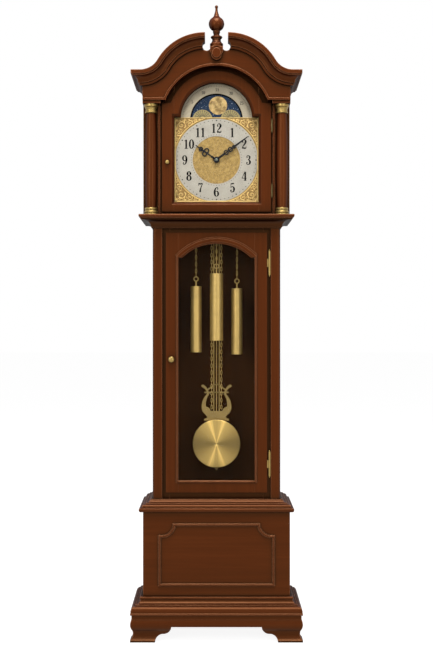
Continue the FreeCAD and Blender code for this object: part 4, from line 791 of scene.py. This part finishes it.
# Strokes of each figure in a box one high: across, up and half width
stroke_shares = {
    "1": [[(.26, .02, .075), (.26, .98, .075)], [(.08, .83, .016), (.17, .88, .03), (.24, .97, .03)],
          [(.08, .014, .014), (.44, .014, .014)]],
    "2": [[(.09, .72, .02), (.14, .9, .03), (.28, .975, .028), (.42, .88, .07), (.44, .72, .085),
           (.33, .5, .06), (.16, .27, .03), (.07, .06, .03)],
          [(.06, .05, .05), (.19, .095, .06), (.34, .055, .06), (.45, .08, .04), (.5, .24, .014)]],
    "3": [[(.09, .79, .02), (.15, .93, .028), (.27, .978, .024), (.4, .89, .06), (.42, .76, .07),
           (.36, .6, .04), (.22, .535, .018)],
          [(.22, .535, .018), (.39, .46, .055), (.45, .27, .09), (.4, .1, .06), (.25, .022, .024),
           (.12, .07, .03), (.07, .2, .02)]],
    "4": [[(.37, .98, .02), (.05, .27, .02)], [(.03, .265, .02), (.55, .265, .02)],
          [(.4, .02, .075), (.4, .95, .075)], [(.25, .014, .014), (.54, .014, .014)]],
    "5": [[(.11, .9, .05), (.28, .93, .055), (.46, .95, .045)], [(.12, .96, .016), (.1, .5, .016)],
          [(.1, .5, .016), (.25, .61, .03), (.4, .53, .065), (.45, .32, .09), (.39, .11, .06),
           (.24, .022, .024), (.12, .07, .03), (.06, .2, .02)]],
    "6": [[(.44, .8, .02), (.4, .93, .03), (.3, .978, .024), (.16, .84, .055), (.09, .6, .08),
           (.08, .38, .09), (.14, .12, .06), (.27, .022, .024), (.41, .12, .06), (.46, .31, .085),
           (.4, .5, .055), (.28, .585, .024), (.15, .5, .018), (.1, .38, .018)]],
    "7": [[(.06, .92, .055), (.28, .9, .06), (.5, .95, .04)], [(.07, .98, .016), (.06, .72, .014)],
          [(.5, .94, .018), (.36, .62, .035), (.26, .3, .06), (.23, .02, .085)]],
}
# Balls: across, up and radius
ball_shares = {"2": [(.14, .72, .07)], "3": [(.14, .79, .065), (.13, .21, .075)], "5": [(.13, .21, .075)],
               "6": [(.4, .8, .06)]}
# Closed rings: across, up, half width and half height
ring_shares = {"0": [(.28, .5, .19, .475)], "8": [(.28, .755, .155, .215), (.28, .27, .19, .25)]}


def ring_line(across, up, half_width, half_height):
    """Closed oval stroke, thick at its sides and thin above and below."""
    line = []
    for turn in even_turns(ring_steps):
        weight = thin_share + (thick_share - thin_share) * abs(math.cos(turn)) ** stress_power
        line.append((across + half_width * math.cos(turn), up + half_height * math.sin(turn), weight))
    return line


def draw_figure(builder, figure, height, left, bottom, front):
    """One figure of a numeral; a nine is a six turned half round."""
    turned = figure == "9"
    shape = "6" if turned else figure

    def place(across, up):
        if turned:
            across, up = numeral_step_share - across, 1 - up
        return Vector((left + across * height, front, bottom + up * height))

    def bold(line):
        return [(across, up, half_width + bold_share) for across, up, half_width in line]

    for stroke in stroke_shares.get(shape, []):
        ribbon(builder, bold(smooth_line(stroke)), place)
    for ring in ring_shares.get(shape, []):
        ribbon(builder, bold(ring_line(*ring)), place, closed=True)
    for across, up, radius in ball_shares.get(shape, []):
        flat_disc(builder, (across, up), radius, place, ring_steps)


def around(centre, radius, turn):
    """Point at a turn, clockwise from the top, as (x, z)."""
    return centre.x + radius * math.sin(turn), centre.z + radius * math.cos(turn)


def draw_number(builder, number, height, x, z, front):
    """Upright number, centred on a place."""
    step = numeral_step_share * height
    left = x - len(str(number)) * step / 2
    for index, figure in enumerate(str(number)):
        draw_figure(builder, figure, height, left + index * step, z - height / 2, front)


def print_front(name):
    """Depth of print on the front of a node."""
    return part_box(name)[0].y - print_height


def build_hour_numerals(black):
    """Upright hour numerals on the chapter ring."""
    centre = centre_of("chapter_ring")
    numerals = bmesh.new()
    for hour in range(1, hour_count + 1):
        x, z = around(centre, numeral_radius, FULL_TURN * hour / hour_count)
        draw_number(numerals, hour, numeral_height, x, z, print_front("chapter_ring"))
    finish_piece(numerals, "hour_numerals", black, "case", smooth=False)


def build_minute_track(black):
    """Track of minute dots and a fine inner track on the chapter ring."""
    centre = centre_of("chapter_ring")
    place = on_plane(print_front("chapter_ring"))
    track = bmesh.new()
    for minute, turn in enumerate(even_turns(minute_count)):
        radius = minute_dot_radius if minute % minutes_apart else five_minute_dot_radius
        flat_disc(track, around(centre, minute_track_radius, turn), radius, place)
        flat_disc(track, around(centre, inner_track_radius, turn), inner_dot_radius, place)
    finish_piece(track, "minute_track", black, "case", smooth=False)


def is_hump(size):
    """Whether a solid of the lunar ring's node is one of the two humps under the moon."""
    return size.x < half_width_of("moon_disc")


def lunar_turn(share):
    """Turn from the top at a share of the lunar month."""
    return HALF_TURN * (lunar_margin_share + (1 - 2 * lunar_margin_share) * share - .5)


def add_fan(lines, low, high, place):
    """Fan of lines on one hump, each with a dot at its end."""
    base = Vector((low.x + high.x, 0, 2 * low.z)) / 2
    reach = (high.z - low.z) * fan_reach_share
    for index in range(fan_line_count):
        turn = HALF_TURN * ((index + 1) / (fan_line_count + 1) - .5)
        ends = [(*around(base, reach * share, turn), fan_line_half_width * (fan_root_share - share))
                for share in fan_line_shares]
        ribbon(lines, ends, place)
        flat_disc(lines, around(base, reach, turn), fan_line_half_width * fan_dot_share, place)


def build_lunar_print(ink):
    """Ticks and days on the lunar ring and a fan of lines on each hump."""
    front = print_front("lunar_ring")
    place = on_plane(front)
    centre = centre_of("moon_disc")
    lines = bmesh.new()
    for index in range(lunar_tick_count):
        turn = lunar_turn(index / (lunar_tick_count - 1))
        ends = [(*around(centre, radius, turn), lunar_tick_half_width)
                for radius in (lunar_tick_inner, lunar_tick_outer)]
        ribbon(lines, ends, place)
    for day in lunar_numeral_days:
        x, z = around(centre, lunar_numeral_radius, lunar_turn(day / lunar_month_days))
        draw_number(lines, day, lunar_numeral_height, x, z, front)
    for low, high in node_boxes("lunar_ring"):
        if is_hump(high - low):
            add_fan(lines, low, high, place)
    finish_piece(lines, "lunar_engraving", ink, "case", smooth=False)


def build_stars(white):
    """Small stars on the sky between the moons."""
    centre = centre_of("moon_disc")
    mesh = frame["nodes"]["moon_disc"].data
    moon_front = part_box("moon_disc")[0].y + print_height
    raised = [polygon for polygon in mesh.polygons if polygon.center.y < moon_front]
    raised_points = [mesh.vertices[corner].co for polygon in raised for corner in polygon.vertices]
    upper = [point for point in raised_points if point.z > centre.z]
    moon = sum(upper, Vector()) / len(upper)
    moon_radius = max(point.x for point in upper) - moon.x + star_margin
    sky_radius = half_width_of("moon_disc") - sky_shadow_width - star_margin
    stars = bmesh.new()
    for index in range(1, star_count):
        x, z = around(centre, sky_radius * math.sqrt(index / star_count), index * GOLDEN_ANGLE)
        apart = min(math.hypot(x - other.x, z - other.z) for other in (moon, 2 * centre - moon))
        if apart > moon_radius:
            size = star_radius * star_size_shares[index % len(star_size_shares)]
            flat_star(stars, (x, z), size, on_plane(print_front("moon_disc") + moon_relief))
    finish_piece(stars, "sky_stars", white, "moon", smooth=False)


def build_sky_edge(black):
    """Painted shadow: a black band round the edge of the sky, along the inner edge of the lunar ring."""
    centre = centre_of("moon_disc")
    radius = half_width_of("moon_disc") - sky_shadow_width / 2
    rim = [(*around(centre, radius, turn), sky_shadow_width / 2) for turn in even_turns(sky_shadow_steps)]
    edge = bmesh.new()
    ribbon(edge, rim, on_plane(print_front("moon_disc") + moon_relief), closed=True)
    finish_piece(edge, "sky_edge_shadow", black, "moon", smooth=False)


# Scrolls in one corner of the dial, as shares of the spandrels' half width: place and size
scroll_shares = [(.845, .845, .112), (.905, .645, .074), (.645, .905, .074), (.949, .51, .043),
                 (.51, .949, .043), (.972, .414, .024), (.414, .972, .024), (.955, .955, .028),
                 (.965, .755, .028), (.755, .965, .028)]


def taper(start, end, steps):
    """Even steps from one value to another."""
    return [start + (end - start) * step / steps for step in range(steps + 1)]


def spiral(centre, front, turn, sweep, reaches):
    """Points that wind about a centre, each at its own reach."""
    points = []
    for reach, angle in zip(reaches, taper(turn, turn + sweep, len(reaches) - 1)):
        points.append(Vector((centre[0] + reach * math.cos(angle), front,
                              centre[1] + reach * math.sin(angle))))
    return points


def add_scroll(builder, centre, radius, start, hand, wire, front):
    """Spiral scroll that runs in to a bead, with leaves on its outside."""
    reaches = taper(radius * scroll_outer_share, radius * scroll_inner_share, scroll_steps)
    path = spiral(centre, front, start, hand * scroll_turns * FULL_TURN, reaches)
    tube_rings(builder, path, taper(wire, wire * scroll_end_share, scroll_steps))
    bead = Matrix.Translation((centre[0], front, centre[1]))
    bmesh.ops.create_icosphere(builder, subdivisions=1, radius=wire * scroll_bead_share, matrix=bead)
    reaches = taper(radius * leaf_root_share, radius * leaf_tip_share, leaf_steps)
    radii = taper(wire * leaf_wire_share, wire * leaf_end_share, leaf_steps)
    for turn in even_turns(leaf_count):
        leaf = spiral(centre, front, start + hand * turn, hand * leaf_bend, reaches)
        tube_rings(builder, leaf, radii)


def add_corner_bead(builder, centre, side, rise, reach, front):
    """Bead along the curved side of one corner's ornament."""
    radius = half_width_of("chapter_ring") + corner_bead_gap
    start = math.acos(reach / radius)
    path = []
    for turn in taper(start, QUARTER_TURN - start, corner_bead_steps):
        path.append(Vector((centre.x + side * radius * math.cos(turn), front,
                            centre.z + rise * radius * math.sin(turn))))
    tube_rings(builder, path, [corner_bead_radius] * len(path))


def build_spandrel_scrolls(gilt):
    """Scrollwork and a curved bead in the four corners of the dial."""
    centre = centre_of("dial_spandrels")
    reach = half_width_of("dial_spandrels")
    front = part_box("dial_spandrels")[0].y
    scrolls = bmesh.new()
    for side, rise in ((1, 1), (1, -1), (-1, 1), (-1, -1)):
        for across, up, size in scroll_shares:
            place = (centre.x + side * across * reach, centre.z + rise * up * reach)
            start = math.atan2(-rise * up, -side * across)
            hand = side * rise * (1 if across > up else -1)
            wire = scroll_tube_share * reach * (scroll_thin_share + scroll_growth * size)
            add_scroll(scrolls, place, size * reach, start, hand, wire, front)
        add_corner_bead(scrolls, centre, side, rise, reach, front)
    finish_piece(scrolls, "spandrel_scrolls", gilt, "case")


def build_dial_border(gilt):
    """Plain border round the square of the dial."""
    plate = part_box("dial_plate")[0]
    outer = -plate.x - border_margin
    inner = outer - border_width
    bottom = plate.z + border_margin
    top = 2 * centre_of("dial_spandrels").z - plate.z
    bars = [((-outer, bottom), (-inner, top)), ((inner, bottom), (outer, top)),
            ((-inner, bottom), (inner, bottom + border_width)),
            ((-inner, top - top_border_width), (inner, top))]
    border = bmesh.new()
    for low, high in bars:
        bevelled_bar(border, low, high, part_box("dial_spandrels")[0].y - border_height, plate.y)
    finish_piece(border, "dial_border", gilt, "case", smooth=False)


# Hands: shaft as (along, width) and loops as (along, aside, radius)
hand_width_shares = [(.06, .9), (.24, .9), (.26, .6), (.56, .6), (.6, .9), (.8, .62), (.97, .4), (1, .1)]
minute_loop_shares = [(.3, 0, .05), (.43, 0, .05), (.54, 0, .035)]
hour_loop_shares = [(.52, .075, .08), (.74, 0, .065)]
# Outline of the cap: across and up
cap_shares = [(.02, 1), (.45, .96), (.8, .72), (.9, .5), (.82, .4), (1, .3), (1, 0)]


def build_hand(name, body, loops, metal):
    """Steel hand with a rounded face: a ring at the arbor, a tapering shaft and open loops."""
    low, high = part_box(name)
    place = joint_of(body)["pos_m"]
    centre = Vector((place[0], (low.y + high.y) / 2, place[2]))
    corners = [vertex.co for vertex in frame["nodes"][name].data.vertices]
    reach = max(corners, key=lambda corner: (corner - centre).length) - centre
    reach.y = 0
    aside = reach.cross(TO_BACK)
    hand = bmesh.new()
    shaft = [centre + reach * along for along, width in hand_width_shares]
    widths = [hand_shaft_radius * width for along, width in hand_width_shares]
    tube_rings(hand, shaft, widths, sides=cap_sides)
    rings = [(centre + reach * along + aside * across * side, radius * reach.length, hand_wire_radius)
             for along, across, radius in loops for side in ((1, -1) if across else (1,))]
    for middle, radius, wire in rings + [(centre, hand_boss_radius, hand_boss_wire)]:
        loop = circle(middle, radius, ring_steps)
        tube_rings(hand, loop, [wire] * ring_steps, closed=True, sides=cap_sides)
    flatness = (high.y - low.y) / 2 / hand_boss_wire
    for vertex in hand.verts:
        vertex.co.y = centre.y + (vertex.co.y - centre.y) * flatness
    piece = finish_piece(hand, name + "_steel", metal, body)
    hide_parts(name)


def build_hand_cap(metal):
    """Turned cap that holds the minute hand."""
    joint = joint_of("minute")
    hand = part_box("minute_hand")[0]
    centre = Vector((joint["pos_m"][0], hand.y, joint["pos_m"][2]))
    cap = bmesh.new()
    turned_cap(cap, centre, [(cap_radius * across, -cap_height * up) for across, up in cap_shares])
    finish_piece(cap, "hand_cap", metal, "minute")


# Stage


def seen_directly(tree):
    """One for rays from the camera, from mirrors and through glass, and zero for rays that carry light."""
    path = add_node(tree, "ShaderNodeLightPath")
    seen = math_node(tree, "MAXIMUM", path.outputs["Is Camera Ray"], path.outputs["Is Glossy Ray"])
    return math_node(tree, "MAXIMUM", seen, path.outputs["Is Transmission Ray"])


def floor_material():
    """White floor that keeps a soft shadow."""
    material, tree, shader = new_material("studio_floor")
    glow = times(tree, seen_directly(tree), floor_glow)
    set_inputs(tree, shader, Base_Color=grey(floor_tone), Roughness=1, Specular_IOR_Level=0,
               Emission_Color=grey(1), Emission_Strength=glow)
    return material


def build_floor():
    mesh = bpy.data.meshes.new("floor")
    size = floor_half_size
    mesh.from_pydata([(-size, -size, 0), (size, -size, 0), (size, size, 0), (-size, size, 0)], [],
                     [(0, 1, 2, 3)])
    mesh.materials.append(floor_material())
    floor = new_object("floor", mesh)


def build_world(level):
    """White surroundings that give only a share of their light."""
    world = bpy.data.worlds.new("studio")
    bpy.context.scene.world = world
    world.use_nodes = True
    tree = world.node_tree
    strength = math_node(tree, "ADD", times(tree, seen_directly(tree), 1 - level), level)
    set_inputs(tree, tree.nodes["Background"], Strength=strength, Color=grey(1))


def add_lamp(name, place, power):
    light = bpy.data.lights.new(name, "AREA")
    light.shape = "RECTANGLE"
    light.size = lamp_width
    light.size_y = lamp_length
    light.energy = power
    lamp = new_object(name, light)
    lamp.location = place
    aim = Vector((0, 0, camera_height)) - Vector(place)
    lamp.rotation_euler = aim.to_track_quat("-Z", "Y").to_euler()


def build_stage():
    build_floor()
    build_world(world_level)
    add_lamp("left_lamp", (-lamp_aside, -lamp_distance, left_lamp_height), left_lamp_power)
    add_lamp("right_lamp", (lamp_aside, -lamp_distance, right_lamp_height), right_lamp_power)
    add_lamp("top_lamp", (0, -top_lamp_reach, top_lamp_height), top_lamp_power)


def build_camera():
    view = bpy.data.cameras.new("camera")
    view.sensor_fit = "VERTICAL"
    view.sensor_height = sensor_size
    view.lens = camera_lens
    camera = new_object("camera", view)
    camera.location = (0, cad_low.y - camera_distance, camera_height)
    camera.rotation_euler = (QUARTER_TURN, 0, 0)
    bpy.context.scene.camera = camera
    bpy.context.scene.view_settings.view_transform = "Standard"


# Finishes

case_nodes = ["front_foot_board", "side_foot_boards", "plinth_moulding", "base_front_panel",
              "base_panel_bead", "base_carcase", "waist_moulding", "trunk_sides", "trunk_front_frame",
              "trunk_door_bead", "hood_ledge", "hood_carcase", "dial_mask", "hood_columns",
              "tympanum", "crown_mouldings", "finial"]
door_nodes = ["trunk_door_frame", "hood_door_frame"]
glass_nodes = ["trunk_door_glass", "hood_door_glass"]
bright_nodes = ["trunk_door_knob", "trunk_door_hinge_leaves", "trunk_case_hinge_leaves", "column_brasses",
                "hood_door_knob", "rating_nut"]
dull_nodes = ["hood_door_hinge_leaves", "hood_case_hinge_leaves"]
brushed_nodes = ["weight_left", "weight_centre", "weight_right", "pendulum_rods"]
wheel_nodes = ["movement_frame", "great_wheel", "centre_wheel", "third_wheel", "escape_wheel",
               "minute_wheel", "hour_wheel", "cannon_pinion", "back_cock", "sprocket_left",
               "sprocket_centre", "sprocket_right"]
# Each wood's colours: dark, middle and light grain, then its worn edges, which also carry a painted
# highlight
mahogany_colours = [(.04, .0072, .0012), (.057, .01, .0016), (.082, .016, .003), (.48, .19, .09)]
stained_colours = [(.019, .007, .0018), (.031, .0115, .003), (.045, .017, .0045), (.05, .03, .02)]
raw_colours = [(.09, .045, .022), (.15, .08, .042), (.22, .125, .07), (.3, .19, .11)]
brass_colour = (.41, .278, .083)
steel_colour = (.5, .5, .5)
glass_colour = (.01, .012, .011)
matted_colours = [(.16, .094, .023), (.45, .3, .093), (.5, .33, .1)]
gilt_colour = (.88, .6, .21)
matt_gilt_colour = (.34, .205, .06)
green_gilt_colour = (.36, .29, .12)
silver_colour = (.455, .42, .345)
cream_colour = (.49, .415, .285)
sky_colours = [(.005, .016, .042), (.012, .033, .078)]
moon_colours = [(.28, .17, .05), (.8, .56, .21)]
star_colour = (.6, .68, .72)
black_colour = (.01, .01, .011)
ink_colour = (.012, .011, .01)
faded_colour = (.1, .09, .075)
cap_colour = (.16, .19, .16)


def paint_woods(names, finish, colours, **settings):
    """Give wooden nodes a finish whose grain runs along each solid's longest side."""
    woods = [wood_material(finish + "_along_" + letter, axis, *colours, **settings)
             for axis, letter in enumerate("xyz")]
    for name in names:
        paint_solids(name, *woods, choose=longest_side)


def paint_all(names, material):
    for name in names:
        paint(name, material)


def paint_case():
    painted_shadow_colours = [shift(colour, .34) for colour in mahogany_colours]
    matt_colours = [shift(colour, .75) for colour in mahogany_colours]
    paint_woods(case_nodes, "mahogany", mahogany_colours, roughness=.28)
    # The throat moulding under the hood's ledge takes a darker copy of the mahogany: painted shadow
    paint_woods(["throat_moulding"], "painted_shadow_mahogany", painted_shadow_colours, roughness=.28)
    paint_woods(["hood_roof"], "matt_mahogany", matt_colours, roughness=.6, polish=.2)
    paint_woods(door_nodes, "joined_mahogany", mahogany_colours, roughness=.28, wear=.12)
    stained = wood_material("stained_board", 2, *stained_colours, roughness=.6)
    raw = wood_material("raw_board", 2, *raw_colours, roughness=.7)
    paint("backboard", raw, stained, choose=lambda polygon: int(polygon.normal.y < facing_limit))
    paint_woods(["seatboard"], "seat_board", raw_colours, roughness=.7)
    paint_all(glass_nodes, glass_material("door_glass", glass_colour))


def brass_finish(name, level, **settings):
    """Brass at a level of brightness."""
    return brass_material(name, shift(brass_colour, level), **settings)


def paint_metal():
    paint_all(bright_nodes, brass_finish("aged_brass", .85, roughness=.3, metallic=.8))
    paint_all(dull_nodes, brass_finish("dull_brass", .3, roughness=.5, metallic=.6))
    brushed = brass_finish("brushed_brass", 1.4, roughness=.32, metallic=.6, along=2)
    paint_all(brushed_nodes, brushed)
    flat = brass_finish("flat_brass", .8, roughness=.45, metallic=.5, along=0)
    paint("pendulum_lyre", flat)
    # The bob's brass carries a painted highlight
    sunburst_highlight = sunburst_material("sunburst_highlight_brass", centre_of("pendulum_bob"), shift(brass_colour, 1.08))
    paint("pendulum_bob", sunburst_highlight)
    paint_all(wheel_nodes, brass_finish("machined_brass", .9, roughness=.34, streak=.14, metallic=.9))
    paint("anchor_and_crutch", plain_material("bright_steel", steel_colour, roughness=.25, metallic=1))
    build_chains(brass_finish("chain_brass", 1.6, roughness=.3, streak=.1, metallic=.7, grime=.75))


def paint_dial():
    matted = matted_material("matted_gilt", centre_of("chapter_ring"), half_width_of("chapter_ring"),
                             *matted_colours)
    paint("dial_plate", matted)
    matt = brass_material("matt_gilt", matt_gilt_colour, roughness=.5, streak=.1, metallic=.5)
    paint("dial_spandrels", matt)
    paint("chapter_ring", silver_material("silvered_brass", silver_colour))
    cream = silver_material("cream_silver", cream_colour)
    hump = brass_material("green_gilt", green_gilt_colour, roughness=.5, streak=.1, metallic=.4)
    paint_solids("lunar_ring", cream, hump, choose=lambda size: int(is_hump(size)))
    moon_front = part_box("moon_disc")[0].y + print_height
    paint("moon_disc", sky_material("night_sky", *sky_colours), moon_material("gilt_moon", *moon_colours),
          choose=lambda polygon: int(polygon.center.y < moon_front))


def build_dial():
    black = plain_material("black_steel", black_colour, roughness=.4, metallic=.1)
    build_hand("minute_hand", "minute", minute_loop_shares, black)
    build_hand("hour_hand", "hour", hour_loop_shares, black)
    ink = plain_material("black_ink", ink_colour, roughness=.7, shine=0)
    build_hour_numerals(ink)
    build_minute_track(ink)
    build_lunar_print(plain_material("faded_ink", faded_colour, roughness=.6, shine=0))
    build_stars(plain_material("star_paint", star_colour, roughness=.6))
    build_sky_edge(ink)
    gilt = brass_material("cast_gilt", gilt_colour, roughness=.36, streak=.1, metallic=.6)
    build_spandrel_scrolls(gilt)
    build_dial_border(gilt)
    build_hand_cap(plain_material("grey_steel", cap_colour, roughness=.3, metallic=.8))


paint_case()
paint_metal()
paint_dial()
build_dial()
build_stage()
build_camera()
